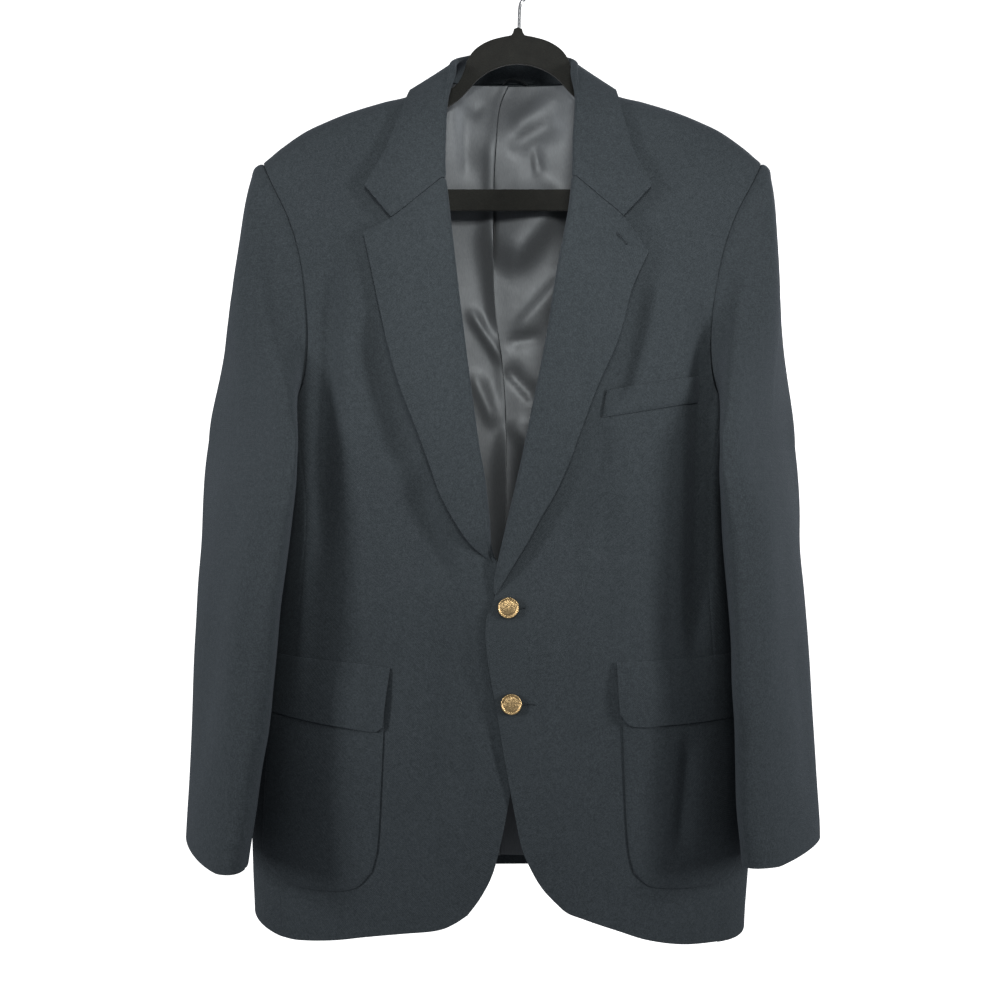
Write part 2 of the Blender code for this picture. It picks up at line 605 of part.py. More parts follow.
def lapel_grid(panel, roll, edge, gorge, sign, lift_table):
    up = 17
    inner = along(roll, up)
    outer = along(edge, up)
    grid = []
    for j in range(up):
        v = j / (up - 1)
        (xi, zi), (xo, zo) = inner[j], outer[j]
        bend = ROLL_OUTSIDE
        lift = smooth(lift_table, v)[0]
        centre_x = xi + sign * bend
        row = []
        for k in range(6):
            turn = math.radians(180 * k / 5)
            surface = face_at(panel, centre_x, zi).y
            x = centre_x - sign * bend * math.sin(turn)
            y = surface - ROLL_INSIDE + bend * math.cos(turn)
            row.append(Vector((x, y, zi)))
        gorge_line = along(gorge, 9)
        bend_in = ease((v - GORGE_FROM) / (1 - GORGE_FROM))
        for k in range(1, 9):
            t = k / 8
            bow_x = gorge_line[k][0] - gorge[0][0] - (gorge[-1][0] - gorge[0][0]) * t
            bow_z = gorge_line[k][1] - gorge[0][1] - (gorge[-1][1] - gorge[0][1]) * t
            x = centre_x + (xo - centre_x) * t + bow_x * bend_in
            z = zi + (zo - zi) * t + bow_z * bend_in
            raised = math.sin(math.pi * min(t * LIFT_WIDTH, 1))
            stand = 2 * ROLL_INSIDE + WALL_FRONT + lift * raised
            p = face_at(panel, x, z)
            p.y -= stand
            row.append(p)
        grid.append(row)
    return grid


def build_lapels():
    grid = lapel_grid("front_left", ROLL_LEFT, LAPEL_LEFT, GORGE_LEFT, 1, LIFT_LEFT)
    sheet("lapel_left", grid, WALL_FRONT, "wool")
    grid = lapel_grid("front_right", ROLL_RIGHT, LAPEL_RIGHT, GORGE_RIGHT, -1, LIFT_RIGHT)
    sheet("lapel_right", grid, WALL_FRONT, "wool", flip=True)


def collar_section(share):
    """Points across the folded collar from its neck seam, over the fold, to its edge."""
    mirrored = share > 0.5
    row = smooth(COLLAR, 1 - share if mirrored else share)
    seam, fold = Vector(row[0:3]), Vector(row[3:6])
    edge, side = Vector(row[6:9]), Vector(row[9:12]).normalized()
    bend = ROLL_INSIDE + WALL_BACK
    rise = fold - seam
    rise = (rise - side * rise.dot(side)).normalized()
    centre = fold - rise * bend
    points = []
    for k in range(3):
        points.append(seam + (centre - side * bend - seam) * k / 3)
    for k in range(5):
        turn = math.radians(180 * k / 4)
        points.append(centre - side * bend * math.cos(turn) + rise * bend * math.sin(turn))
    start = points[-1]
    from_end = min(share, 1 - share)
    corner = 1 - ease(from_end / NOTCH_RUN)
    rounding = COLLAR_BOW * ease(from_end / 0.1)
    rounding *= 1 - COLLAR_FLAT * ease((from_end - 0.16) / 0.1)
    for k in range(1, 6):
        t = k / 5
        straight = start + (edge - start) * t
        if t <= NOTCH_SHARE:
            bent = start + (Vector(NOTCH) - start) * t / NOTCH_SHARE
        else:
            rest = (t - NOTCH_SHARE) / (1 - NOTCH_SHARE)
            bent = Vector(NOTCH) + (edge - Vector(NOTCH)) * rest
        bow = side * rounding * math.sin(math.pi * t)
        points.append(straight + (bent - straight) * corner + bow)
    if mirrored:
        pull = COLLAR_PULL * ease((share - PULL_FROM) / PULL_RUN)
        points = [Vector((-p.x - pull, p.y, p.z)) for p in points]
    return points


def build_collar():
    across = 33
    grid = [collar_section(k / (across - 1)) for k in range(across)]
    sheet("collar", grid, WALL_BACK, "wool", flip=True)


def sleeve_ring(row, angle, sign):
    z, cx, cy, length, thick, turn = row
    yaw = math.radians(turn)
    out = Vector((sign * math.cos(yaw), -math.sin(yaw), 0))
    fore = Vector((-sign * math.sin(yaw), -math.cos(yaw), 0))
    a = math.radians(angle)
    p = Vector((cx, cy, z)) + out * thick * math.cos(a) + fore * length * math.sin(a)
    p.z += (p.y - cy) * CUFF_SLOPE[sign]
    p.z += max(sign * (p.x - cx) + CUFF_RISE_FROM, 0.0) * CUFF_RISE[sign]
    return p


def sleeve_column(table, angle, sign):
    """From the armhole down to the cuff at one angle round the sleeve."""
    seat = armhole_at(angle % 360, sign)
    away = Vector((sign * 1.0, 0, -0.25)).normalized()
    a = math.radians(angle)
    start = seat + away * (HEAD_GAP + ARMPIT_GAP * max(-math.cos(a), 0.0))
    ring = sleeve_ring(table[0], angle, sign)
    top_share = max(math.cos(a), 0.0)
    reach = (ring - start).length
    leave = Vector((sign * (0.35 + 0.65 * top_share), 0.0, LEAVE_LOW + LEAVE_RISE * top_share))
    first = start + leave.normalized() * reach * HEAD_REACH * (1 - HEAD_SHORTER * top_share)
    second = ring + Vector((-sign * RING_TUCK, 0.0, reach * RING_REACH))
    column = []
    for k in range(8):
        t = k / 8
        p = (start * (1 - t) ** 3 + first * 3 * t * (1 - t) ** 2
             + second * 3 * t * t * (1 - t) + ring * t ** 3)
        full = math.exp(-((p.z - FULLNESS_Z) / FULLNESS_RUN) ** 2) * ease(t * 3) * ease((1 - t) * 3)
        p.x += sign * FULLNESS[sign] * full * top_share
        column.append(p)
    steps = 8
    for k in range(steps + 1):
        z = table[0][0] + (table[-1][0] - table[0][0]) * k / steps
        row = (z,) + smooth(table, z)
        column.append(sleeve_ring(row, angle, sign))
    return column


def build_sleeves():
    for side, sign, table in (("left", 1, SLEEVE_LEFT), ("right", -1, SLEEVE_RIGHT)):
        for part, first, last, across in (
                ("upper", SLEEVE_SEAM_BACK, SLEEVE_SEAM, 15),
                ("under", SLEEVE_SEAM, 360 + SLEEVE_SEAM_BACK, 9)):
            low, high = first + SEAM_INSET, last - SEAM_INSET
            angles = [low + (high - low) * edge_share(i, across) for i in range(across)]
            columns = [sleeve_column(table, angle, sign) for angle in angles]
            grid = [[column[j] for column in columns] for j in range(len(columns[0]))]
            name = "sleeve_" + side + "_" + part
            sheet(name, grid, WALL_SLEEVE, "wool", flip=(sign < 0))


def on_front(panel, table, across, up, out_at):
    """A piece laid on a front: the front's own points, moved out."""
    outer = table.get("outer") or [table["bottom"][0], table["top"][0]]
    inner = table.get("inner") or [table["bottom"][-1], table["top"][-1]]
    flat = coons(table["bottom"], table["top"], along(outer, up), along(inner, up), across, up)
    grid = []
    for j, row in enumerate(flat):
        out = out_at(j / (up - 1))
        grid.append([face_at(panel, x, z, out) for x, z in row])
    return grid


def build_pockets():
    over_front = GAP + POCKET_EASE + WALL_POCKET
    over_patch = over_front + GAP + PATCH_SWELL + WALL_POCKET
    for side, panel, patch, flap, flip in (
            ("left", "front_left", PATCH_LEFT, FLAP_LEFT, True),
            ("right", "front_right", PATCH_RIGHT, FLAP_RIGHT, False)):
        grid = on_front(panel, patch, 10, 11, lambda v: over_front + 4 * POCKET_EASE
                        + PATCH_SWELL * math.sin(math.pi * v))
        sheet("patch_pocket_" + side, grid, WALL_POCKET, "wool", flip=flip)
        grid = on_front(panel, flap, 10, 6, lambda v: over_patch + FLAP_LIFT
                        - FLAP_DROP * ease(v * 1.6 - 0.6))
        sheet("pocket_flap_" + side, grid, WALL_POCKET, "wool", flip=flip)
    over_chest = GAP + 4 * POCKET_EASE + WALL_WELT
    grid = on_front("front_left", WELT, 7, 4, lambda v: over_chest)
    sheet("breast_welt", grid, WALL_WELT, "wool")


def build_buttons():
    for name, (x, z) in BUTTONS.items():
        seat = face_at("front_left", x, z).y
        curve_mesh = bpy.data.meshes.new(name)
        bm = bmesh.new()
        line = [bm.verts.new((r * MM, -h * MM, 0)) for r, h in BUTTON_PROFILE]
        edges = [bm.edges.new((p, q)) for p, q in zip(line, line[1:])]
        bmesh.ops.spin(bm, geom=line + edges, cent=(0, 0, 0), axis=(0, 1, 0),
                       angle=math.tau, steps=18, use_merge=True)
        bmesh.ops.remove_doubles(bm, verts=bm.verts, dist=0.00005)
        bmesh.ops.recalc_face_normals(bm, faces=bm.faces)
        place_at = Vector((x + lean(z), seat - GAP, z)) * MM
        for v in bm.verts:
            v.co += place_at
        bm.to_mesh(curve_mesh)
        bm.free()
        place(name, curve_mesh, "brass")


def build_lining():
    """Back lining in two halves, with the slack of a centre pleat."""
    for name, sign in (("lining_left", 1), ("lining_right", -1)):
        grid = []
        up, across = 15, 9
        for j in range(up):
            v = j / (up - 1)
            row = []
            for i in range(across):
                u = i / (across - 1)
                z_top = LINING_TOP - LINING_TOP_DROP * u ** 2
                z = LINING_HEM + (z_top - LINING_HEM) * v
                half = min(smooth(BODY, z)[0] * 0.74, 64 + (LINING_TOP - z) * 1.1, LINING_HALF)
                x = sign * (GAP + (half - GAP) * u)
                depth = face_at("back", x, z).y
                pleat = math.exp(-(x / PLEAT_WIDTH) ** 2) * ease((LINING_TOP - 10 - z) / 60)
                depth = max(depth - LINING_OFF - PLEAT_DEPTH * pleat, 1.0)
                row.append(Vector((x, depth, z)))
            grid.append(row)
        sheet(name, grid, WALL_LINING, "satin", flip=(sign < 0))


def tube(name, points, radius, slot, leaning):
    curve = bpy.data.curves.new(name, "CURVE")
    curve.dimensions = "3D"
    curve.bevel_depth = radius * MM
    curve.bevel_resolution = 2
    curve.use_fill_caps = True
    spline = curve.splines.new("POLY")
    spline.points.add(len(points) - 1)
    for k, p in enumerate(points):
        x = p[0] + (lean(p[2]) if leaning else 0.0)
        spline.points[k].co = (x * MM, p[1] * MM, p[2] * MM, 1)
    ob = bpy.data.objects.new(name, curve)
    group = bpy.data.collections.new(name)
    bpy.context.scene.collection.children.link(group)
    group.objects.link(ob)
    curve.materials.append(material(slot, name))
    return ob


def build_loop():
    tube("hanging_loop", along(LOOP_LINE, 13), LOOP_RADIUS, "satin", True)


def build_hanger():
    """Flat flocked hanger: one outline with its trouser-bar opening, cut from a board."""
    curve = bpy.data.curves.new("hanger", "CURVE")
    curve.dimensions = "2D"
    curve.fill_mode = "BOTH"
    curve.extrude = (HANGER_HALF - HANGER_EDGE) * MM
    curve.bevel_depth = HANGER_EDGE * MM
    curve.bevel_resolution = 0
    right = along(HANGER_UPPER, 23)
    outline = right + [(HANGER_MIDDLE - x, z) for x, z in reversed(right[1:])]
    hole = along(HANGER_LOWER, 17)
    hole += [(HANGER_MIDDLE - x, z) for x, z in reversed(hole[1:])]
    for line in (outline, hole):
        spline = curve.splines.new("POLY")
        spline.points.add(len(line) - 1)
        for k, (x, z) in enumerate(line):
            spline.points[k].co = (x * MM, z * MM, 0, 1)
        spline.use_cyclic_u = True
    ob = bpy.data.objects.new("hanger", curve)
    ob.rotation_euler = (math.pi / 2, 0, 0)
    group = bpy.data.collections.new("hanger")
    bpy.context.scene.collection.children.link(group)
    group.objects.link(ob)
    curve.materials.append(material("flock", "hanger"))


def build_hook():
    """Wire hook: an open circle over the rail, a bend back to the middle, a shank."""
    centre = -HOOK_RADIUS + WIRE_RADIUS
    points = []
    for k in range(25):
        turn = math.radians(200 - 250 * k / 24)
        points.append((HOOK_RADIUS * math.cos(turn), 0, centre + HOOK_RADIUS * math.sin(turn)))
    low = points[-1]
    points += [(low[0] - 5.5, 0, low[2] - 5.0)] + SHANK
    smooth_line = points[:25] + along(points[24:], 12)[1:]
    tube("hanger_hook", smooth_line, WIRE_RADIUS, "wire", False)


clear_file()
build_fronts()
build_sides()
build_backs()
build_lapels()
build_collar()
build_sleeves()
build_pockets()
build_buttons()
build_lining()
build_loop()
build_hanger()
build_hook()
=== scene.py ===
"""Navy patch-pocket blazer, buttoned and hanging on its slim flocked hanger."""

import math

import bmesh
import bpy
import numpy as np
from mathutils import Matrix, Vector


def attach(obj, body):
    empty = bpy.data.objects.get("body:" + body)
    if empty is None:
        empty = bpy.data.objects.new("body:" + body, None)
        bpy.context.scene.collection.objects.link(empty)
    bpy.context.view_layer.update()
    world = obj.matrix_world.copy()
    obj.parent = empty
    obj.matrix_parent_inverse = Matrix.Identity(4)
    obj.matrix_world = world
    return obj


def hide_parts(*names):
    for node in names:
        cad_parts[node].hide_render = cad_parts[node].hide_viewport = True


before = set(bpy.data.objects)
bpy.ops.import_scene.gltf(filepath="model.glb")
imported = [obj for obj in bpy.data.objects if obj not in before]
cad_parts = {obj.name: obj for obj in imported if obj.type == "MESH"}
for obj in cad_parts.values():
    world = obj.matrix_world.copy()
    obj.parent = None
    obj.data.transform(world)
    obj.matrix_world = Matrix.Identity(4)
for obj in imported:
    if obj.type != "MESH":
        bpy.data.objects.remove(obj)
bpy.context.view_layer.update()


# -------- studio and camera
# A seamless pale paper sweep, a narrow lamp over the camera, a soft box at each side and
# a fill behind. The camera stands level with the middle of the coat.
MM = 0.001
CAMERA_PLACE = (-0.0170, -1.39, -0.5374)
FLOOR_Z = -1.55
SWEEP_FRONT = -4.5
SWEEP_BACK = 1.9
SWEEP_RADIUS = 0.7
SWEEP_WALL = 3.2
SWEEP_HALF_WIDTH = 5
FLOOR_ROWS, TURN_ROWS, WALL_ROWS = 10, 20, 10
WORLD_COLOUR = (0.93, 0.95, 1.0, 1)
WORLD_STRENGTH = 0.235
LAMP_TINT = (1, 0.99, 0.96)

scene = bpy.context.scene
scene.view_settings.view_transform = "Standard"
camera = bpy.data.objects.new("camera", bpy.data.cameras.new("camera"))
camera.location = CAMERA_PLACE
camera.rotation_euler = (math.pi / 2, 0, 0)
camera.data.lens = 50
camera.data.sensor_width = 36
camera.data.clip_start = 0.02
scene.collection.objects.link(camera)
scene.camera = camera

world = bpy.data.worlds.new("studio")
world.use_nodes = True
scene.world = world


def node(tree, kind, **values):
    made = tree.nodes.new(kind)
    for key, value in values.items():
        setattr(made, key, value)
    return made


def set_inputs(of_node, **values):
    """Constants on a node's inputs, in whose names _ stands for a space."""
    for label, value in values.items():
        of_node.inputs[label.replace("_", " ")].default_value = value


def new_material(name, **constants):
    """A Principled material with these constants, its tree and its shader."""
    mat = bpy.data.materials.new(name)
    mat.use_nodes = True
    shader = mat.node_tree.nodes["Principled BSDF"]
    set_inputs(shader, **constants)
    return mat, mat.node_tree, shader


def mesh_from(bm, name):
    mesh = bpy.data.meshes.new(name)
    bm.to_mesh(mesh)
    bm.free()
    return mesh


def soft_box(name, place, aim, size, power, tint=(1, 1, 1), spread=180):
    """An area lamp at a place, turned to its aim; spread is its cone in degrees."""
    lamp = bpy.data.lights.new(name, "AREA")
    lamp.shape = "RECTANGLE"
    lamp.size, lamp.size_y = size
    lamp.energy = power
    lamp.color = tint
    lamp.spread = math.radians(spread)
    ob = bpy.data.objects.new(name, lamp)
    ob.location = place
    ob.rotation_euler = (Vector(aim) - Vector(place)).to_track_quat("-Z", "Y").to_euler()
    scene.collection.objects.link(ob)


set_inputs(world.node_tree.nodes["Background"], Color=WORLD_COLOUR, Strength=WORLD_STRENGTH)
soft_box("top", (0.07, -1.25, 0.02), (0, 0, -0.33), (0.3, 0.26), 0.62, LAMP_TINT, 46)
soft_box("left_side", (-1.6, -0.95, -0.35), (0, 0, -0.6), (0.3, 0.6), 16.5)
soft_box("right_side", (1.6, -0.95, -0.35), (0, 0, -0.6), (0.3, 0.6), 18)
soft_box("back_fill", (0.9, 1.5, 0.5), (0, 0, -0.5), (1.2, 1.2), 12)

rows = FLOOR_ROWS + TURN_ROWS + WALL_ROWS
turn_from = SWEEP_BACK - SWEEP_RADIUS
bm = bmesh.new()
bmesh.ops.create_grid(bm, x_segments=1, y_segments=rows, size=1)
for v in bm.verts:
    row = (v.co.y + 1) / 2 * rows
    if row < FLOOR_ROWS:
        y, z = SWEEP_FRONT + (turn_from - SWEEP_FRONT) * row / FLOOR_ROWS, FLOOR_Z
    elif row < FLOOR_ROWS + TURN_ROWS:
        turn = math.pi / 2 * (row - FLOOR_ROWS) / TURN_ROWS
        y = turn_from + SWEEP_RADIUS * math.sin(turn)
        z = FLOOR_Z + SWEEP_RADIUS * (1 - math.cos(turn))
    else:
        y = SWEEP_BACK
        z = FLOOR_Z + SWEEP_RADIUS + SWEEP_WALL * (row - FLOOR_ROWS - TURN_ROWS) / WALL_ROWS
    v.co = (v.co.x * SWEEP_HALF_WIDTH, y, z)
sweep_mesh = mesh_from(bm, "paper_sweep")
sweep_mesh.shade_smooth()
sweep = bpy.data.objects.new("paper_sweep", sweep_mesh)
scene.collection.objects.link(sweep)
paper = new_material("paper", Base_Color=(0.9, 0.9, 0.9, 1), Roughness=0.9,
                     Emission_Color=(1, 1, 1, 1), Emission_Strength=0.9)[0]
sweep_mesh.materials.append(paper)
sweep.visible_diffuse = False
sweep.visible_glossy = False


# -------- wool cloth
# Mid-weight navy hopsack: fine crossing yarns, a heather of darker and lighter ones, and
# a short nap that goes pale at grazing angles.
WOOL = (0.0255, 0.0325, 0.0370)
WOOL_PALE = (0.0620, 0.0740, 0.0830)
NAP_TINT = (0.62, 0.70, 0.85, 1)
YARN_SCALE = 520.0        # yarns per metre each way


def math_node(tree, operation, a, b=None):
    made = node(tree, "ShaderNodeMath", operation=operation)
    for slot, value in ((0, a), (1, b)):
        if value is None:
            continue
        if isinstance(value, (int, float)):
            made.inputs[slot].default_value = value
        else:
            tree.links.new(value, made.inputs[slot])
    return made.outputs[0]


def noise(tree, vector, scale, detail, rough=0.5):
    made = node(tree, "ShaderNodeTexNoise")
    set_inputs(made, Scale=scale, Detail=detail, Roughness=rough)
    tree.links.new(vector, made.inputs["Vector"])
    return made.outputs[0]


def object_place(tree):
    return node(tree, "ShaderNodeTexCoord").outputs["Object"]


def colours(tree, shader, first, second, factor):
    """Base colour between two colours."""
    ramp = node(tree, "ShaderNodeMix", data_type="RGBA")
    set_inputs(ramp, A=first + (1,), B=second + (1,))
    tree.links.new(factor, ramp.inputs["Factor"])
    tree.links.new(ramp.outputs["Result"], shader.inputs["Base Color"])


def roughness(tree, shader, low, high, value):
    rough = node(tree, "ShaderNodeMapRange")
    set_inputs(rough, To_Min=low, To_Max=high)
    tree.links.new(value, rough.inputs["Value"])
    tree.links.new(rough.outputs["Result"], shader.inputs["Roughness"])


def bumped(tree, shader, strength, distance, height):
    bump = node(tree, "ShaderNodeBump")
    set_inputs(bump, Strength=strength, Distance=distance)
    tree.links.new(height, bump.inputs["Height"])
    tree.links.new(bump.outputs["Normal"], shader.inputs["Normal"])


def woven_group():
    """Weave height and yarn shade from the cloth's own lengths, and a slow fading."""
    tree = bpy.data.node_groups.new("woven", "ShaderNodeTree")
    for label in ("Shade", "Height", "Fading"):
        tree.interface.new_socket(label, in_out="OUTPUT", socket_type="NodeSocketFloat")
    lengths = node(tree, "ShaderNodeUVMap", uv_map="lengths").outputs[0]
    place = object_place(tree)
    split = node(tree, "ShaderNodeSeparateXYZ")
    tree.links.new(lengths, split.inputs[0])
    turns = 2 * math.pi * YARN_SCALE
    across = math_node(tree, "SINE", math_node(tree, "MULTIPLY", split.outputs[0], turns))
    along_yarn = math_node(tree, "SINE", math_node(tree, "MULTIPLY", split.outputs[1], turns))
    weave = math_node(tree, "MULTIPLY", across, along_yarn)
    twill = math_node(tree, "ADD", split.outputs[0], split.outputs[1])
    twill = math_node(tree, "SINE", math_node(tree, "MULTIPLY", twill, turns * 0.5))
    weave = math_node(tree, "ADD", weave, math_node(tree, "MULTIPLY", twill, 0.5))
    speckle = noise(tree, place, 760, 2, 0.6)
    slub = noise(tree, place, 240, 3, 0.6)
    shade = math_node(tree, "ADD", math_node(tree, "MULTIPLY", speckle, 1.5),
                      math_node(tree, "MULTIPLY", slub, 0.7))
    shade = math_node(tree, "ADD", shade, math_node(tree, "MULTIPLY", weave, 0.05))
    height = math_node(tree, "ADD", math_node(tree, "MULTIPLY", weave, 0.5), speckle)
    fading = noise(tree, place, 7, 3)
    ends = node(tree, "NodeGroupOutput")
    tree.links.new(shade, ends.inputs["Shade"])
    tree.links.new(height, ends.inputs["Height"])
    tree.links.new(fading, ends.inputs["Fading"])
    return tree


woven = woven_group()


def wool(name, tone=1.0):
    mat, tree, shader = new_material(name, Specular_IOR_Level=0.25, Sheen_Weight=0.12,
                                     Sheen_Roughness=0.45, Sheen_Tint=NAP_TINT)
    look = node(tree, "ShaderNodeGroup", node_tree=woven)
    mixed = math_node(tree, "ADD", look.outputs["Shade"],
                      math_node(tree, "MULTIPLY", look.outputs["Fading"], 0.35))
    colours(tree, shader, tuple(c * tone for c in WOOL), tuple(c * tone for c in WOOL_PALE),
            math_node(tree, "SUBTRACT", mixed, 0.93))
    roughness(tree, shader, 0.72, 0.92, look.outputs["Shade"])
    bumped(tree, shader, 0.35, 0.0004, look.outputs["Height"])
    return mat


navy = wool("navy_hopsack")


# -------- fronts
# Two fronts of wool, canvas and facing, from the shoulder to the rounded hem corners.
# Each is a sheet whose face runs through the body's section, with its folds.
# All sizes from here on are in millimetres, and all angles in tables in degrees.
WALL_FRONT = 2.4
LEAN_SLOPE = 0.0165
LEAN_AT_HOOK = -1.5
SHOULDER_RADIUS = 27.0
NECK_DEPTH = 44.5
CHEST_RUN = 210.0
FLATNESS = 0.8
SHOULDER_END = 248.0
UNDERLAP = 3.5
UNDERLAP_RUN = 20.0
UNDERLAP_REACH = 34.0
NECK_POINT_X = 75.0
NECK_POINT_Z = -119.5
ROLL_INSIDE = 1.9
ROLL_OUTSIDE = ROLL_INSIDE + WALL_FRONT
UNDER_ROLL = 1.3          # how far the front stops short of the roll's outside
FRONT_SEAM = 132          # where the side seams meet the armhole, in degrees round it
BACK_SEAM = 240
FRONT_BELOW = 0.54        # the share of a front's and a back's rows below the armhole
BACK_BELOW = 0.52
TURNED_EDGE = 0.7
TURNED_SHARE = 0.45
TURNED_ANGLE = 55
SHOULDER_CALM = 90.0      # folds die away over these lengths at shoulders and sides
SIDE_CALM = 14.0
# z, half width, front depth, back depth
BODY = [
    (-1000, 246, 67, 55), (-960, 244, 68, 56), (-900, 247, 69, 57), (-860, 248, 70, 58),
    (-760, 240, 71, 60), (-600, 226, 71, 62), (-540, 224, 71, 62), (-458, 237, 70, 60),
    (-380, 250, 68, 58), (-300, 262, 66, 54), (-200, 270, 64, 50), (-60, 270, 62, 48)]
# x, z along the shoulder seam
SHOULDER = [(0, -102), (75, -119.5), (103, -134), (129, -140.5), (163, -151), (190, -162),
            (208, -171), (230, -186.5), (240, -195), (250, -204.5), (270, -238)]
# angle round the armhole from the shoulder, x, z
ARMHOLE = [
    (-20, 236, -226), (0, 247, -203), (20, 236, -226), (40, 218, -262), (60, 205, -302),
    (80, 197, -350), (100, 195, -395), (120, 201, -430), (150, 221, -452), (180, 236.8, -459),
    (210, 222, -453), (240, 202, -431), (260, 199, -395), (280, 201, -350), (300, 207, -302),
    (320, 219, -262), (340, 236, -226), (360, 247, -203), (380, 236, -226)]
# front edge of each front from its rounded corner up to the neck point: x, z
EDGE_LEFT = [
    (51, -920), (40, -908), (30.5, -893), (20, -870), (12, -835), (4, -795), (-6, -742),
    (-13.4, -704), (-16.5, -686), (-18.5, -665), (-17.3, -648), (-12.2, -638),
    (-9.8, -628), (-5, -606), (3.5, -563), (15, -513), (21.5, -480), (39, -385),
    (49, -319), (59, -259), (64.2, -222), (64.5, -206), (65.8, -180), (69, -150),
    (73, -130), (NECK_POINT_X, NECK_POINT_Z)]
EDGE_RIGHT = [
    (-31, -933), (-20, -918), (-9, -897), (-2, -872), (4, -841), (9, -810), (17, -760),
    (24, -715), (27, -672), (23, -645), (14, -626), (2, -611), (-7, -598),
    (-17.5, -586), (-21, -556), (-25.5, -520), (-33, -480), (-50, -366), (-59, -299),
    (-67, -238), (-71.9, -220), (-71.9, -180), (-72, -150), (-74, -130),
    (-NECK_POINT_X, NECK_POINT_Z)]
HEM_LEFT = [(241, -967), (228, -968.5), (208, -968), (176, -966), (141, -959.5), (111, -949),
            (94, -943), (77, -936.6), (63.5, -931), (51, -920)]
HEM_RIGHT = [(-241, -962), (-226, -963), (-196, -963.5), (-160, -961), (-127, -956),
             (-90, -951.5), (-65.6, -949), (-53, -946), (-42, -940.5), (-31, -933)]
ROLL_LEFT = [(-11.5, -620), (-9.5, -604), (-1.5, -566), (10, -513), (16.5, -480), (34, -385),
             (43.5, -319), (54, -259), (57.5, -225)]
ROLL_RIGHT = [(-13, -586), (-16, -556), (-20.5, -520), (-28, -480), (-45, -366),
              (-54, -299), (-62, -238), (-64, -226.5)]
# folds: x and z at the upper end, x and z at the lower end, width on the left and on
# the right seen from the front, height
FOLDS_LEFT = [
    (186, -290, 184, -720, 9, 16, -6.5), (168, -290, 170, -700, 26, 8, 4),
    (208, -320, 204, -800, 16, 14, 3), (178, -750, 168, -890, 6, 12, -3.5),
    (130, -310, 98, -470, 22, 13, -8), (98, -450, 84, -600, 16, 18, -6.5),
    (84, -470, 92, -860, 18, 22, -5), (46, -600, 56, -900, 20, 18, 3.5),
    (122, -520, 132, -800, 22, 26, 3), (150, -560, 150, -930, 12, 16, -2.5),
    (118, -160, 150, -300, 24, 24, -2)]
FOLDS_RIGHT = [
    (-173, -250, -178, -640, 11, 12, -5.5), (-154, -270, -158, -570, 14, 28, 5),
    (-196, -300, -198, -760, 14, 10, 3.5), (-136, -350, -84, -525, 24, 9, -9.5),
    (-90, -500, -54, -625, 26, 10, -9.5), (-50, -585, -36, -860, 22, 14, -7.5),
    (-60, -660, -14, -752, 9, 7, -3), (-22, -725, 8, -815, 9, 7, -2.5),
    (-96, -560, -86, -900, 24, 26, 3.5), (-140, -620, -136, -930, 18, 14, -3),
    (-116, -160, -150, -300, 24, 24, -2)]
FOLDS_BACK = [
    (-90, -200, -70, -860, 30, 30, 4), (95, -220, 70, -820, 32, 32, 4),
    (-160, -260, -150, -880, 22, 22, -4), (165, -260, 150, -880, 22, 22, -4),
    (-120, -520, -176, -300, 12, 20, -3), (124, -540, 180, -320, 20, 12, -3)]


def read(rows, key):
    """Every column of a table at these keys, by an even cubic through its rows."""
    rows = np.array(rows, float)
    rows = rows[np.argsort(rows[:, 0], kind="stable")]
    at, value = rows[:, 0], rows[:, 1:]
    slope = np.empty_like(value)
    slope[1:-1] = (value[2:] - value[:-2]) / (at[2:] - at[:-2])[:, None]
    slope[0] = (value[1] - value[0]) / (at[1] - at[0])
    slope[-1] = (value[-1] - value[-2]) / (at[-1] - at[-2])
    key = np.clip(np.asarray(key, float), at[0], at[-1])
    i = np.clip(np.searchsorted(at, key, side="right") - 1, 0, len(at) - 2)
    span = (at[i + 1] - at[i])[..., None]
    t = (key - at[i])[..., None] / span
    return ((2 * t ** 3 - 3 * t ** 2 + 1) * value[i] + (t ** 3 - 2 * t ** 2 + t) * slope[i] * span
            + (3 * t ** 2 - 2 * t ** 3) * value[i + 1] + (t ** 3 - t ** 2) * slope[i + 1] * span)


def x_at(points, z):
    """The x of a line of x, z points at these z."""
    return read([(row[1], row[0]) for row in points], z)[..., 0]


def along(points, shares):
    """Points at these shares of a smooth line through the points."""
    points = np.array(points, float)
    run = np.concatenate([[0], np.cumsum(np.linalg.norm(np.diff(points, axis=0), axis=1))])
    return read(np.column_stack([run, points]), run[-1] * np.asarray(shares))


def steps(count, length, start=True, stop=True):
    """Even shares of a length, with fine steps at the ends that are sewn or turned."""
    fine = np.array([0.0, 0.7, 1.6, 3.0]) / length
    first = fine if start else fine[:1]
    last = 1 - (fine if stop else fine[:1])[::-1]
    return np.concatenate([first, np.linspace(first[-1], last[0], count)[1:-1], last])


def ease(t):
    t = np.clip(t, 0.0, 1.0)
    return t * t * (3 - 2 * t)


def patch(low, high, first, last, u, v):
    """Grid between four edges; first and last run from the bottom up."""
    u, v = u[None, :, None], v[:, None, None]
    edges = (1 - v) * low[None] + v * high[None] + (1 - u) * first[:, None] + u * last[:, None]
    corners = ((1 - u) * (1 - v) * low[0] + u * (1 - v) * low[-1]
               + (1 - u) * v * high[0] + u * v * high[-1])
    return edges - corners


def shoulder_z(x):
    return read(SHOULDER, np.abs(x))[..., 0]


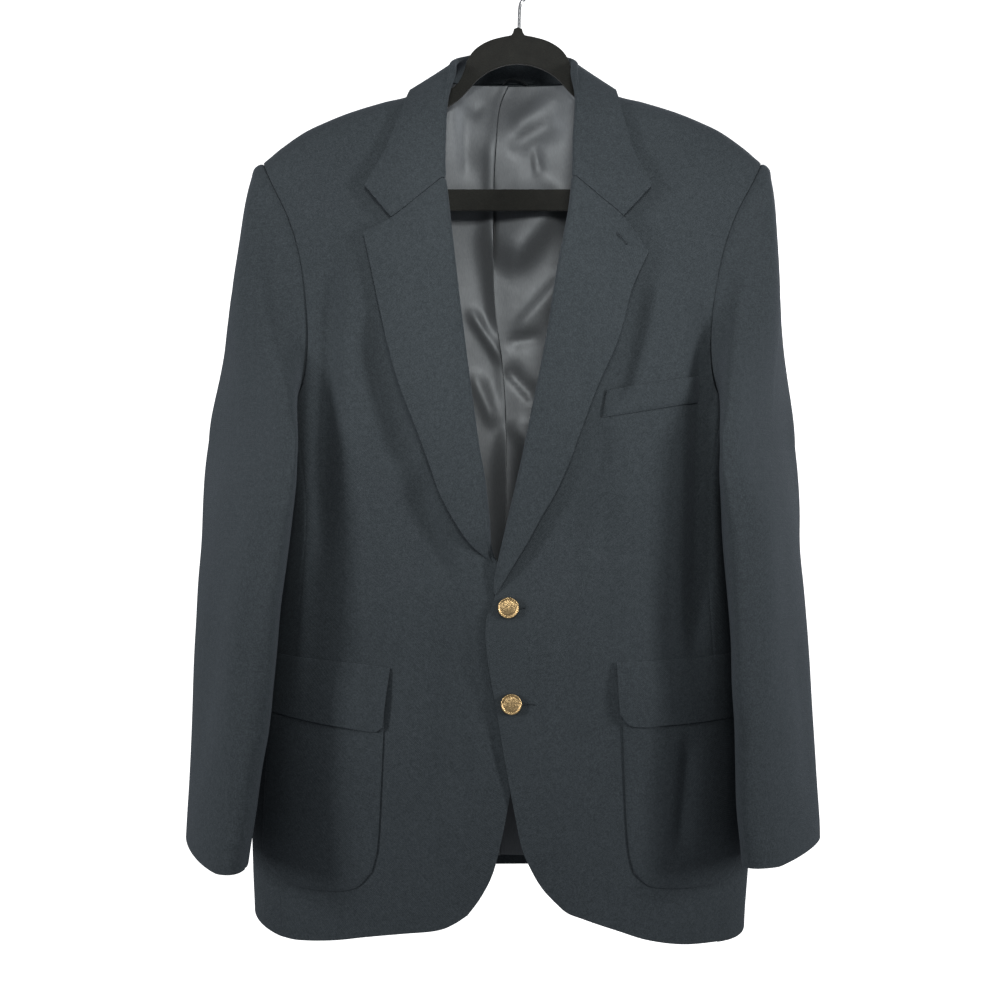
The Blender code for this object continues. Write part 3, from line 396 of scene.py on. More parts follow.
def folds_at(folds, x, z):
    """Height of soft folds that run between two points and die away at their ends."""
    total = np.zeros(np.broadcast(x, z).shape)
    for x_top, z_top, x_low, z_low, left, right, height in folds:
        run = math.hypot(x_low - x_top, z_low - z_top)
        ux, uz = (x_low - x_top) / run, (z_low - z_top) / run
        share = ((x - x_top) * ux + (z - z_top) * uz) / run
        off = -(x - x_top) * uz + (z - z_top) * ux
        width = np.where(off < 0, left, right)
        ends = ease(share / 0.3) * ease((1 - share) / 0.3)
        total += height * ends * np.exp(-(off / width) ** 2)
    return total


def body_depth(x, z, front):
    """How far the cloth stands from the middle plane."""
    half, fore, aft = np.moveaxis(read(BODY, z), -1, 0)
    sine = np.minimum(np.abs(x) / half, 1.0)
    full = (fore if front else aft) * np.maximum(1 - sine * sine, 0.0) ** (FLATNESS / 2)
    drop = shoulder_z(x) - z
    near = np.clip(drop, 0, SHOULDER_RADIUS) / SHOULDER_RADIUS
    round_over = SHOULDER_RADIUS * np.sqrt(np.maximum(1 - (1 - near) ** 2, 0.0))
    filled = round_over + (full - SHOULDER_RADIUS) * ease(drop / CHEST_RUN) * near
    upper = (drop < CHEST_RUN) & (np.abs(x) < SHOULDER_END + 2)
    return np.where(upper, filled, full)


def underlap(x, z):
    """The wearer's right front sinks under the left one where they cross."""
    edge = x_at(EDGE_LEFT, z)
    return UNDERLAP * ease((-552 - z) / 35) * ease((x - edge + UNDERLAP_REACH) / UNDERLAP_RUN)


def calm(x, z):
    """A share that takes folds away towards the shoulders and the sides."""
    aside = read(BODY, z)[..., 0] - np.abs(x)
    return ease((shoulder_z(x) - z) / SHOULDER_CALM) * ease(aside / SIDE_CALM)


def face(panel, x, z, plain=False):
    """Points on the outer face of a panel at these x and z; plain has no folds."""
    x, z = np.broadcast_arrays(np.asarray(x, float), np.asarray(z, float))
    front = panel.startswith("front")
    depth = body_depth(x, z, front)
    folds = {"front_left": FOLDS_LEFT, "front_right": FOLDS_RIGHT, "front": []}
    if not plain:
        depth = depth + folds_at(folds.get(panel, FOLDS_BACK), x, z) * calm(x, z)
    if panel == "front_right":
        depth = depth - underlap(x, z)
    if not front:
        neck = np.maximum(0.0, 1 - np.abs(x) / NECK_POINT_X)
        rise = NECK_DEPTH * np.sqrt(1 - (1 - neck) ** 2)
        depth = depth + (np.maximum(rise, depth) - depth) * ease((z + 190) / 70)
    return np.stack([x, -depth if front else depth, z], axis=-1)


def outward(grid, flip=False):
    """Unit directions out of a grid's face."""
    turn = np.cross(np.gradient(grid, axis=1), np.gradient(grid, axis=0))
    turn /= np.maximum(np.linalg.norm(turn, axis=2, keepdims=True), 1e-9)
    return -turn if flip else turn


def lengths(grid):
    """Length along each row from its first point and up each column from its lowest."""
    row = np.cumsum(np.linalg.norm(np.diff(grid, axis=1), axis=2), axis=1)
    column = np.cumsum(np.linalg.norm(np.diff(grid, axis=0), axis=2), axis=0)
    return np.pad(row, ((0, 0), (1, 0))), np.pad(column, ((1, 0), (0, 0)))


def seamed(grid, flip=False, first=0.0, last=0.0, low=0.0, high=0.0, width=1.7):
    """Turn the named edges of a grid in towards their seams, by so many millimetres."""
    row, column = lengths(grid)
    fall = first * np.exp(-(row / width) ** 2)
    fall += last * np.exp(-((row[:, -1:] - row) / width) ** 2)
    fall += low * np.exp(-(column / width) ** 2)
    fall += high * np.exp(-((column[-1:] - column) / width) ** 2)
    return grid - outward(grid, flip) * fall[..., None]


def leaned(points):
    """The points with the coat's small lean on its hanger."""
    points = points.copy()
    points[..., 0] += LEAN_SLOPE * points[..., 2] + LEAN_AT_HOOK
    return points


def bent_grid(grid):
    """A bmesh grid bent so that its points are these."""
    up, across = grid.shape[:2]
    bm = bmesh.new()
    bmesh.ops.create_grid(bm, x_segments=across - 1, y_segments=up - 1, size=1)
    for v, p in zip(bm.verts, grid.reshape(-1, 3) * MM):
        v.co = p
    return bm


def placed(name, mesh, mat, nodes):
    """A smooth object of one material that rides on the part's body."""
    ob = bpy.data.objects.new(name, mesh)
    scene.collection.objects.link(ob)
    mesh.materials.clear()
    mesh.materials.append(mat)
    mesh.polygons.foreach_set("use_smooth", np.ones(len(mesh.polygons), bool))
    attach(ob, "root")
    if nodes:
        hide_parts(*nodes)
    return ob


def cloth(name, grid, wall, node_name, flip=False, mat=navy):
    """A cloth piece: its face runs through the grid, its wall and turned edge behind.
    """
    place = leaned(grid)
    bm = bent_grid(place)
    if flip:
        bmesh.ops.reverse_faces(bm, faces=bm.faces)
    mesh = mesh_from(bm, name)
    row, column = lengths(grid)
    middle = grid.shape[1] // 2
    size = np.stack([row - row[:, middle:middle + 1], column], axis=-1) * MM
    corner = np.empty(len(mesh.loops), int)
    mesh.loops.foreach_get("vertex_index", corner)
    layer = mesh.uv_layers.new(name="lengths")
    layer.data.foreach_set("uv", size.reshape(-1, 2)[corner].ravel())
    ob = placed(name, mesh, mat, [node_name])
    shell = ob.modifiers.new("wall", "SOLIDIFY")
    shell.thickness = wall * MM
    shell.offset = -1.0
    shell.use_even_offset = False
    turned = ob.modifiers.new("turned_edge", "BEVEL")
    turned.width = min(TURNED_EDGE, wall * TURNED_SHARE) * MM
    turned.segments = 2
    turned.limit_method = "ANGLE"
    turned.angle_limit = math.radians(TURNED_ANGLE)


def shoulder_rows(count, length):
    """Shares of a length that close up where the cloth rolls over the shoulder."""
    turn = np.radians(np.linspace(78, 0, 12))
    close = 1 - SHOULDER_RADIUS * (1 - np.cos(turn)) / length
    return np.concatenate([np.linspace(0, close[0], count)[:-1], close])


def seam_share(angle):
    """How far out a side seam lies, as a share of the body's half width."""
    x, z = read(ARMHOLE, angle)
    return x / read(BODY, z)[0]


def outer_edge(sign, hem_z, seam_at, top_at, below, count):
    """A panel's side seam and armhole as x and z, and its rows' shares of its height."""
    low, high = steps(62, 500, stop=False)[:-1], shoulder_rows(count, 300)
    z = hem_z + (read(ARMHOLE, seam_at)[1] - hem_z) * low
    seam = np.stack([sign * read(BODY, z)[:, 0] * seam_share(seam_at), z], axis=1)
    hole = read(ARMHOLE, seam_at + (top_at - seam_at) * high) * (sign, 1)
    return np.concatenate([seam, hole]), np.concatenate([low * below, below + high * (1 - below)])


for side, sign, edge, hem, roll in (("left", 1, EDGE_LEFT, HEM_LEFT, ROLL_LEFT),
                                    ("right", -1, EDGE_RIGHT, HEM_RIGHT, ROLL_RIGHT)):
    panel = "front_" + side
    outer, rows = outer_edge(sign, hem[0][1], FRONT_SEAM, 0, FRONT_BELOW, 52)
    inner = along(edge, rows)
    rolled = (inner[:, 1] > roll[0][1]) & (inner[:, 1] < roll[-1][1])
    under_roll = x_at(roll, inner[:, 1]) + sign * (ROLL_OUTSIDE + UNDER_ROLL)
    inner[:, 0] = np.where(rolled, under_roll, inner[:, 0])
    columns = steps(70, 250)
    low = [tuple(outer[0])] + [p for p in hem if abs(p[0]) < abs(outer[0][0]) - 8]
    top_x = outer[-1, 0] + (edge[-1][0] - outer[-1, 0]) * np.linspace(0, 1, 9)
    top_z = np.where(np.arange(9) > 0, shoulder_z(top_x), outer[-1, 1])
    flat = patch(along(low, columns), along(np.stack([top_x, top_z], axis=1), columns),
                 outer, inner, columns, rows)
    grid = face(panel, flat[..., 0], flat[..., 1])
    grid[-1, :, 1] = 0.0
    grid = seamed(grid, sign > 0, first=0.3, high=0.8)
    cloth("wool_" + panel, grid, WALL_FRONT, panel, flip=sign > 0)


# -------- side panels
# Narrow panels under each arm, with pressed seams front and back. They carry on the
# folds of the fronts and backs beside them.
WALL_BACK = 1.8
HEM_BACK = -915.0
NECK_BACK = -109.5
SIDE_HEM = {1: -967.5, -1: -962.0}
SIDE_RISE = {1: 2.2, -1: 1.1}


def side_point(turn, z):
    """Points on the body's side; 0 is straight ahead, 90 the side, 180 the back."""
    half, fore, aft = np.moveaxis(read(BODY, z), -1, 0)
    reach = np.abs(np.cos(np.radians(turn))) ** FLATNESS
    depth = np.where(turn < 90, fore, -aft)
    return np.stack([half * np.sin(np.radians(turn)), -depth * reach, z], axis=-1)


for side, sign, folds in (("left", 1, FOLDS_LEFT), ("right", -1, FOLDS_RIGHT)):
    u = steps(30, 110)[None, :]
    v = steps(80, 500)[:, None]
    angle = FRONT_SEAM + (BACK_SEAM - FRONT_SEAM) * u
    hole = read(ARMHOLE, angle)
    near = np.degrees(np.arcsin(np.minimum(hole[..., 0] / read(BODY, hole[..., 1])[..., 0], 1)))
    top_turn = np.where(angle <= 180, near, 180 - near)
    first = math.degrees(math.asin(seam_share(FRONT_SEAM)))
    last = 180 - math.degrees(math.asin(seam_share(BACK_SEAM)))
    turn = first + (last - first) * u
    turn = turn + (top_turn - turn) * v
    hem = SIDE_HEM[sign] + (HEM_BACK - SIDE_HEM[sign]) * u ** SIDE_RISE[sign]
    z = hem + (hole[..., 1] - hem) * v
    grid = side_point(turn, z)
    grid[..., 0] *= sign
    for front, table in ((True, folds), (False, FOLDS_BACK)):
        push = folds_at(table, grid[..., 0], z) * calm(grid[..., 0], z)
        push = push * ((turn < 90) == front)
        grid[..., 1] += -push if front else push
    grid = seamed(grid, sign < 0, first=0.3, last=0.9, high=0.9)
    cloth("wool_side_" + side, grid, WALL_BACK, "side_" + side, flip=sign < 0)


# -------- backs
# Two backs joined by the centre seam, open below as a vent whose right half laps
# under the left.
VENT_TOP = -690.0
VENT_LAP = 34.0
VENT_STEP = WALL_BACK + 1.0
for side, sign in (("left", 1), ("right", -1)):
    panel = "back_" + side
    outer, rows = outer_edge(sign, HEM_BACK, BACK_SEAM, 360, BACK_BELOW, 50)
    z = HEM_BACK + (NECK_BACK - HEM_BACK) * rows
    lap = VENT_LAP if sign < 0 else 0.0
    inner = np.stack([lap * ease((VENT_TOP - 10 - z) / 14), z], axis=1)
    columns = steps(64, 210)
    tip = outer[-1]
    high = [tuple(tip)]
    for k in range(1, 7):
        x = tip[0] + (sign * NECK_POINT_X - tip[0]) * k / 6
        high.append((x, float(shoulder_z(x))))
    high += [(sign * 58, -114.5), (sign * 34, -110.5), tuple(inner[-1])]
    low = [tuple(outer[0]), (sign * 110, -916), tuple(inner[0])]
    flat = patch(along(low, columns), along(high, columns), outer, inner, columns, rows)
    grid = face(panel, flat[..., 0], flat[..., 1])
    if sign < 0:
        x, z = flat[..., 0], flat[..., 1]
        grid[..., 1] -= VENT_STEP * ease((x + 22) / 18) * ease((VENT_TOP + 50 - z) / 40)
    shoulder = np.abs(flat[-1, :, 0]) >= NECK_POINT_X - 1
    grid[-1, shoulder, 1] = 0.0
    grid = seamed(grid, sign < 0, first=0.9, high=0.8, last=0.0 if sign < 0 else 0.3)
    cloth("wool_" + panel, grid, WALL_BACK, panel, flip=sign < 0)


# -------- lapels
# Notched lapels that roll over from the fronts at the break, felled to the canvas and
# standing a little off the chest along their outer edge.
ROLL_POINTS = 13
RIGHT_UNDER = 7.0         # how far the right lapel's lower end sinks under the left one
# outer edges and gorge seams: x, z; lift off the chest: share of the edge, height
LAPEL_LEFT = [(-9.4, -627.5), (-6, -622.5), (0.5, -611), (12.3, -590.6), (21.6, -575),
              (33.5, -552), (44.6, -533), (58.4, -502), (66, -480), (84, -430),
              (103, -385), (116, -336), (132, -299)]
LAPEL_RIGHT = [(5, -624), (0, -612), (-9.6, -601), (-21, -591), (-32.6, -581),
               (-45.3, -564), (-63, -533), (-74, -504), (-89, -465), (-104, -428),
               (-117, -385), (-134, -314), (-142.5, -280)]
GORGE_LEFT = [(61.8, -225), (83, -243.5), (107.6, -264.7), (132, -299)]
GORGE_RIGHT = [(-68.3, -226.5), (-90, -244.5), (-116.1, -265.5), (-142.5, -280)]
LIFT_LEFT = [(0, 0.5), (0.2, 2.5), (0.55, 6), (0.85, 3.5), (1, 1.5)]
LIFT_RIGHT = [(0, 0.5), (0.2, 3), (0.5, 6), (0.85, 3), (1, 1)]
lapel_grids = {}
for side, sign, roll, edge, gorge, lifts in (
        ("left", 1, [(-10.8, -626.5)] + ROLL_LEFT, LAPEL_LEFT, GORGE_LEFT, LIFT_LEFT),
        ("right", -1, [(7, -622), (-3, -605)] + ROLL_RIGHT, LAPEL_RIGHT, GORGE_RIGHT,
         LIFT_RIGHT)):
    v = steps(120, 400)
    inner, outer = along(roll, v), along(edge, v)
    lift = read(lifts, v)[:, 0]
    taper = 0.1 + 0.9 * ease(v / 0.12)
    middle_x = inner[:, 0] + sign * ROLL_OUTSIDE * taper
    base = face("front_" + side, middle_x, inner[:, 1], plain=True)[:, 1]
    turn = np.radians(np.linspace(0, 180, ROLL_POINTS))[None, :]
    rolled = np.stack([middle_x[:, None] - sign * ROLL_OUTSIDE * taper[:, None] * np.sin(turn),
                       (base - ROLL_INSIDE * taper)[:, None]
                       + (ROLL_INSIDE * taper + WALL_FRONT)[:, None] * np.cos(turn),
                       np.repeat(inner[:, 1:], ROLL_POINTS, axis=1)], axis=-1)
    t = steps(44, 90, start=False)[1:]
    x = middle_x[:, None] + (outer[:, 0] - middle_x)[:, None] * t
    z = inner[:, 1:] + (outer[:, 1:] - inner[:, 1:]) * t
    bow = along(gorge, t) - (np.array(gorge[0]) + np.subtract(gorge[-1], gorge[0]) * t[:, None])
    bend_in = ease((v - 0.6) / 0.4)[:, None]
    x = x + bow[:, 0] * bend_in
    z = z + bow[:, 1] * bend_in
    fall = face("front_" + side, x, z, plain=True)
    stand = 2 * ROLL_INSIDE * taper[:, None] + WALL_FRONT
    fall[..., 1] -= stand + lift[:, None] * np.sin(math.pi * np.minimum(t * 0.75, 1))
    grid = np.concatenate([rolled, fall], axis=1)
    if sign < 0:
        grid[..., 1] += RIGHT_UNDER * ease((-566 - grid[..., 2]) / 34)
    else:
        grid[..., 1] += (WALL_FRONT - 0.4) * (1 - ease(v / 0.07))[:, None]
    lapel_grids[side] = grid
    cloth("wool_lapel_" + side, seamed(grid, sign < 0, high=0.7), WALL_FRONT,
          "lapel_" + side, flip=sign < 0)


# -------- collar
# Undercollar and top collar as one turned piece, from gorge to gorge round the neck: a
# stand from the neck seam, a fold, and a fall that ends in the notch's points.
STAND_POINTS = 11
FALL_POINTS = 18
# share of the way, neck seam x y z, fold x y z, edge x y z, fall side x y z
COLLAR = [
    (0.00, -69, -43, -221, -64, -47, -221, -143, -46, -232, 0, -1, 0),
    (0.06, -69, -38, -206, -65, -42.5, -206, -135, -43, -217, 0, -1, 0),
    (0.14, -69, -31, -177, -65, -36.5, -175, -123.5, -38, -194, -0.1, -1, 0),
    (0.20, -69.5, -27.5, -150.5, -64, -32.5, -145, -110.5, -32.5, -158.5, -0.5, -1, 0),
    (0.25, -69, -15.5, -123.5, -60.5, -17, -112, -103, -15.5, -132, -1, -0.3, 0),
    (0.29, -69.5, 0, -116, -60.2, -2, -98, -101, 4, -128.5, -1, 0, 0),
    (0.36, -57, 29, -112, -48, 28, -84, -76, 34, -127, -0.7, 0.7, 0),
    (0.43, -30, 41, -109, -27, 39, -77, -36, 47.5, -119, -0.25, 1, 0),
    (0.50, 0, 44, -108, 0, 42, -75, 0, 51, -117, 0, 1, 0)]
COLLAR_PULL = 7.0
COLLAR_BOW = 4.5
NOTCH = np.array((-117.0, -58.0, -264.0))
NOTCH_SHARE = 0.6
NOTCH_RUN = 0.12
GORGE_GAP = 0.7


def unit(v):
    return v / np.linalg.norm(v)


def collar_section(share):
    mirrored = share > 0.5
    row = read(COLLAR, 1 - share if mirrored else share)
    seam, fold, edge, side = row[0:3], row[3:6], row[6:9], unit(row[9:12])
    bend = ROLL_INSIDE + WALL_BACK
    rise = unit(fold - seam - side * (fold - seam).dot(side))
    centre = fold - rise * bend
    stand = [seam + (centre - side * bend - seam) * t
             for t in np.linspace(0, 1, STAND_POINTS + 1)[:-1]]
    turned = [centre - side * bend * math.cos(a) + rise * bend * math.sin(a)
              for a in np.linspace(0, math.pi, ROLL_POINTS)]
    from_end = min(share, 1 - share)
    corner = 1 - ease(from_end / NOTCH_RUN)
    rounding = COLLAR_BOW * ease(from_end / 0.1) * (1 - 0.6 * ease((from_end - 0.16) / 0.1))
    start = turned[-1]
    fall = []
    for t in np.concatenate([np.linspace(0, NOTCH_SHARE, FALL_POINTS + 1)[1:],
                             NOTCH_SHARE + (1 - NOTCH_SHARE) * steps(12, 30, start=False)[1:]]):
        straight = start + (edge - start) * t
        if t <= NOTCH_SHARE:
            bent = start + (NOTCH - start) * t / NOTCH_SHARE
        else:
            bent = NOTCH + (edge - NOTCH) * (t - NOTCH_SHARE) / (1 - NOTCH_SHARE)
        fall.append(straight + (bent - straight) * corner
                    + side * rounding * math.sin(math.pi * t))
    points = np.array(stand + turned + fall)
    if mirrored:
        points[:, 0] = -points[:, 0] - COLLAR_PULL * ease((share - 0.7) / 0.2)
    return points


shares = steps(150, 560)
grid = np.array([collar_section(share) for share in shares])
for end, side, gorge in ((0, "right", GORGE_RIGHT), (-1, "left", GORGE_LEFT)):
    # the collar's end lies along the gorge seam as far as the notch
    seam_row = lapel_grids[side][-1]
    runs = np.cumsum([0] + [math.dist(a, b) for a, b in zip(gorge, gorge[1:])])
    met = along(seam_row[ROLL_POINTS - 1:], np.linspace(0, runs[2] / runs[3], FALL_POINTS + 1)[1:])
    target = np.concatenate([seam_row[:ROLL_POINTS], met]) + (0, 0, GORGE_GAP)
    shift = np.zeros_like(grid[0])
    past = STAND_POINTS + len(target)
    shift[STAND_POINTS:past] = target - grid[end, STAND_POINTS:past]
    grow = np.linspace(0, 1, STAND_POINTS + 1)[:-1, None]
    shift[:STAND_POINTS] = shift[STAND_POINTS] * grow
    shift[past:] = shift[past - 1] * np.linspace(1, 0, len(shift) - past + 1)[1:, None]
    from_end = shares if end == 0 else 1 - shares
    grid = grid + (1 - ease(from_end / 0.07))[:, None, None] * shift
cloth("wool_collar", seamed(grid, True, low=0.7, high=0.7), WALL_BACK, "collar",
      flip=True)


# -------- sleeves
# Two-piece sleeves set into the armholes with a softly roped head; they hang straight
# and swing forward, and lie over the body's sides.
WALL_SLEEVE = 1.6
CUFF_SLOPE = {1: -0.06, -1: 0.07}
CUFF_RISE = {1: 0.22, -1: 0.2}
CUFF_RISE_FROM = 12.0
FULLNESS = {1: 4.5, -1: 8.5}
HEAD_REACH = {1: 0.27, -1: 0.31}
FULLNESS_Z = -352.0
FULLNESS_RUN = 62.0
ROPED = (1.8, 10.0, 6.5)  # height of the roped head, its distance from the seam, width
DEGREES_APART = 3.2
UPPER_HALF = (-108, 126)  # the two pieces, in degrees round the sleeve
UNDER_HALF = (126, 252)
# z, centre x, centre y, half length, half thickness, turn in degrees
SLEEVE_RIGHT = [
    (-492, -252, -19, 88, 17.5, 36.5), (-518, -253.5, -19, 88, 23, 35.5),
    (-557, -256, -23, 86, 27, 34), (-596, -258.5, -27, 84, 27, 33.5),
    (-635, -261.5, -31, 82, 27, 33), (-674, -263, -34, 81, 27, 32.5),
    (-713, -264.5, -38, 79, 27, 32), (-751, -265.5, -42, 77, 27, 31),
    (-789, -268, -46, 75, 27, 28), (-827, -270, -50, 73, 27, 26),
    (-855, -272, -53, 72, 27, 24), (-876, -273.5, -54, 71, 27, 22.5)]
SLEEVE_LEFT = [
    (-492, 247.5, -19, 88, 16, 32), (-518, 248.5, -19, 88, 21.5, 31),
    (-557, 251, -23, 86, 26, 29), (-596, 253, -27, 84, 26, 29),
    (-635, 256.5, -31, 82, 26, 30), (-674, 259.5, -34, 81, 26, 30.5),
    (-713, 261, -38, 79, 26, 32), (-751, 263, -42, 77, 26, 32.5),
    (-789, 264.5, -46, 75, 26, 34), (-827, 266, -50, 73, 26, 35.5),
    (-865, 269, -54, 71, 26, 35.5), (-880, 270, -54, 71, 26, 35)]
# folds in the sleeves: angle and z at the upper end, angle and z at the lower end,
# width either side, height
SLEEVE_FOLDS_LEFT = [
    (20, -225, 62, -420, 14, 12, -3), (44, -230, 84, -460, 14, 12, 3),
    (96, -420, 60, -600, 16, 14, -2.5), (30, -520, 50, -760, 18, 18, 2.5),
    (70, -600, 96, -800, 16, 20, -2.5), (-40, -300, -60, -620, 20, 16, 3),
    (0, -640, -16, -850, 18, 18, -2.5), (150, -500, 170, -760, 20, 18, 3),
    (-80, -420, -70, -700, 18, 20, -3)]
SLEEVE_FOLDS_RIGHT = [
    (14, -222, 58, -400, 12, 14, 3.5), (32, -240, 76, -430, 12, 14, -3.5),
    (90, -400, 64, -620, 16, 14, -2.5), (40, -560, 40, -800, 20, 16, 2.5),
    (8, -600, 0, -840, 16, 18, -2.5), (-46, -280, -66, -600, 18, 18, 3),
    (80, -640, 100, -840, 18, 16, -2.5), (160, -520, 160, -780, 20, 20, 3),
    (-84, -400, -76, -720, 20, 18, -3)]


def sleeve_ring(rows, z, angle, sign):
    """Points round a sleeve; 0 is its outer side and 90 its fore edge."""
    cx, cy, length, thick, turn = np.moveaxis(read(rows, z), -1, 0)
    yaw, a = np.radians(turn), np.radians(angle)
    off, fore = thick * np.cos(a), length * np.sin(a)
    x = cx + sign * (np.cos(yaw) * off - np.sin(yaw) * fore)
    y = cy - np.sin(yaw) * off - np.cos(yaw) * fore
    rise = np.maximum(sign * (x - cx) + CUFF_RISE_FROM, 0.0) * CUFF_RISE[sign]
    return np.stack([x, y, z + (y - cy) * CUFF_SLOPE[sign] + rise], axis=-1)


def sleeve_grid(rows, first, last, sign, folds):
    """A sleeve piece: a head that leaves the armhole, then the length down to the cuff."""
    across = int(abs(last - first) / DEGREES_APART)
    angle = first + (last - first) * steps(across, 200)[None, :]
    wrapped = angle % 360
    hole = read(ARMHOLE, wrapped)
    fore = face("front", sign * hole[..., 0], hole[..., 1])
    aft = face("back", sign * hole[..., 0], hole[..., 1])
    seat = np.where((wrapped <= 180)[..., None], fore, aft)
    away = np.array([sign, 0, -0.25]) / math.hypot(1, 0.25)
    under = np.maximum(-np.cos(np.radians(angle)), 0.0)
    start = seat + away * (0.3 + 2.1 * under)[..., None]
    ring = sleeve_ring(rows, np.full_like(angle, rows[0][0]), angle, sign)
    top = np.maximum(np.cos(np.radians(angle)), 0.0)
    reach = np.linalg.norm(ring - start, axis=-1)
    leave = np.stack([sign * (0.35 + 0.65 * top), 0 * top, -0.75 + 0.45 * top], axis=-1)
    leave /= np.linalg.norm(leave, axis=-1, keepdims=True)
    second = start + leave * (reach * HEAD_REACH[sign] * (1 - 0.64 * top))[..., None]
    third = ring + np.stack([-sign * 2.0 + 0 * reach, 0 * reach, reach * 0.36], axis=-1)
    t = steps(46, 260, stop=False)[:-1, None, None]
    head = (start * (1 - t) ** 3 + second * 3 * t * (1 - t) ** 2
            + third * 3 * t * t * (1 - t) + ring * t ** 3)
    full = np.exp(-((head[..., 2] - FULLNESS_Z) / FULLNESS_RUN) ** 2)
    full = full * (ease(t * 3) * ease((1 - t) * 3))[..., 0]
    head[..., 0] += sign * FULLNESS[sign] * full * top
    z = rows[0][0] + (rows[-1][0] - rows[0][0]) * steps(64, 400, start=False)
    z = np.broadcast_to(z[:, None], (len(z), angle.shape[1]))
    length = sleeve_ring(rows, z, np.broadcast_to(angle, z.shape), sign)
    grid = np.concatenate([head, length])
    down = grid[..., 2]
    fading = ease((down[:1] - down) / 60) * ease((down - rows[-1][0]) / 40)
    height = folds_at(folds, np.broadcast_to(angle, down.shape), down) * fading
    rope, rope_from, rope_width = ROPED
    roped = rope * np.exp(-((lengths(grid)[1] - rope_from) / rope_width) ** 2) * top
    return grid + outward(grid, sign < 0) * (height + roped)[..., None]


for side, sign, rows, folds in (("left", 1, SLEEVE_LEFT, SLEEVE_FOLDS_LEFT),
                                ("right", -1, SLEEVE_RIGHT, SLEEVE_FOLDS_RIGHT)):
    for part, ends in (("upper", UPPER_HALF), ("under", UNDER_HALF)):
        grid = sleeve_grid(rows, *ends, sign, folds)
        grid = seamed(grid, sign < 0, first=0.8, last=0.8, low=1.2)
        piece = "sleeve_" + side + "_" + part
        cloth("wool_" + piece, grid, WALL_SLEEVE, piece,
              flip=sign < 0)


# -------- pockets
# Patch pockets with square-set flaps over their mouths and a breast welt, all sewn on
# the fronts.
WALL_POCKET = 1.8
WALL_WELT = 1.6
GAP = 0.3
PATCH_CROWN = 1.8
# x, z along each edge
FLAP_RIGHT = {
    "bottom": [(-228, -743), (-165, -753.5), (-121, -758.5), (-114, -754)],
    "top": [(-224, -687.5), (-173.6, -691.6), (-108.4, -697.3)]}
FLAP_LEFT = {
    "bottom": [(229, -748), (160, -753), (122, -752.5), (111.5, -741)],
    "top": [(225, -686.5), (180, -690), (107.5, -692)]}
PATCH_RIGHT = {
    "bottom": [(-233, -878), (-228, -892), (-217, -902), (-196, -910.5), (-156.5, -912.8),
               (-137, -908), (-123, -893)],
    "top": [(-227, -731), (-170, -738), (-113.5, -741)],
    "outer": [(-233, -878), (-231, -800), (-227, -731)],
    "inner": [(-123, -893), (-118, -870), (-115, -800), (-113.5, -741)]}
PATCH_LEFT = {
    "bottom": [(233, -880), (228, -896), (217, -907), (192, -911), (155, -910),
               (141, -906.6), (127, -894)],
    "top": [(228, -733), (170, -736), (113.5, -736)],
    "outer": [(233, -880), (231, -800), (228, -733)],
    "inner": [(127, -894), (122, -874), (118, -831), (113.5, -736)]}
WELT = {"bottom": [(89, -459), (184, -443)], "top": [(93, -433), (182, -418)]}


def on_front(panel, table, across, up, stand, flip):
    """A piece laid on a front: the front's own points, moved out by so much."""
    u, v = steps(across, 100), steps(up, 150)
    outer = table.get("outer") or [table["bottom"][0], table["top"][0]]
    inner = table.get("inner") or [table["bottom"][-1], table["top"][-1]]
    flat = patch(along(table["bottom"], u), along(table["top"], u), along(outer, v),
                 along(inner, v), u, v)
    grid = face(panel, flat[..., 0], flat[..., 1])
    return grid + outward(grid, flip) * stand(u[None, :], v[:, None])[..., None]


over_front = GAP + 0.2 + WALL_POCKET
over_patch = over_front + GAP + 1.2 + WALL_POCKET


def patch_stand(u, v):
    crown = np.sin(math.pi * u) * np.sin(math.pi * np.minimum(v * 1.1, 1))
    return over_front + 0.2 + PATCH_CROWN * crown


def flap_stand(u, v):
    return over_patch - 1.0 + 0.9 * u - 2.6 * ease(v * 1.6 - 0.6)


def welt_stand(u, v):
    return GAP + 1.0 + WALL_WELT + 0.9 * v + 0 * u


for side, patch_table, flap_table, flip in (("left", PATCH_LEFT, FLAP_LEFT, True),
                                            ("right", PATCH_RIGHT, FLAP_RIGHT, False)):
    panel = "front_" + side
    grid = on_front(panel, patch_table, 36, 50, patch_stand, flip)
    cloth("wool_patch_" + side, seamed(grid, flip, first=1.0, last=1.0, low=1.0), WALL_POCKET,
          "patch_pocket_" + side, flip=flip)
    grid = on_front(panel, flap_table, 36, 24, flap_stand, flip)
    cloth("wool_flap_" + side, seamed(grid, flip, high=1.0), WALL_POCKET,
          "pocket_flap_" + side, flip=flip)
grid = seamed(on_front("front_left", WELT, 30, 14, welt_stand, False),
              low=1.2, first=1.0, last=1.2)
cloth("wool_breast_welt", grid, WALL_WELT, "breast_welt")


# -------- lining
# Grey satin back lining in two halves that hang slack. The right half's edge stands as
# a pleat over the left one, down the centre of the back.
SATIN = (0.105, 0.115, 0.124)
SATIN_PALE = (0.195, 0.212, 0.225)
WALL_LINING = 1.0
LINING_HEM = -903.0
# where the centre pleat's edge runs: z, x
PLEAT = [(-903, 0), (-600, 0), (-471, -1.5), (-403, -6), (-331, -16), (-219, -18), (-168, -16),
         (-135, -13), (-112, -4)]
PLEAT_STAND = 3.2
PLEAT_WIDTH = 9.0
LINING_DEPTH = 14.5
CLEAR_OF_BACK = 3.6
CLEAR_OF_HANGER = 3.6
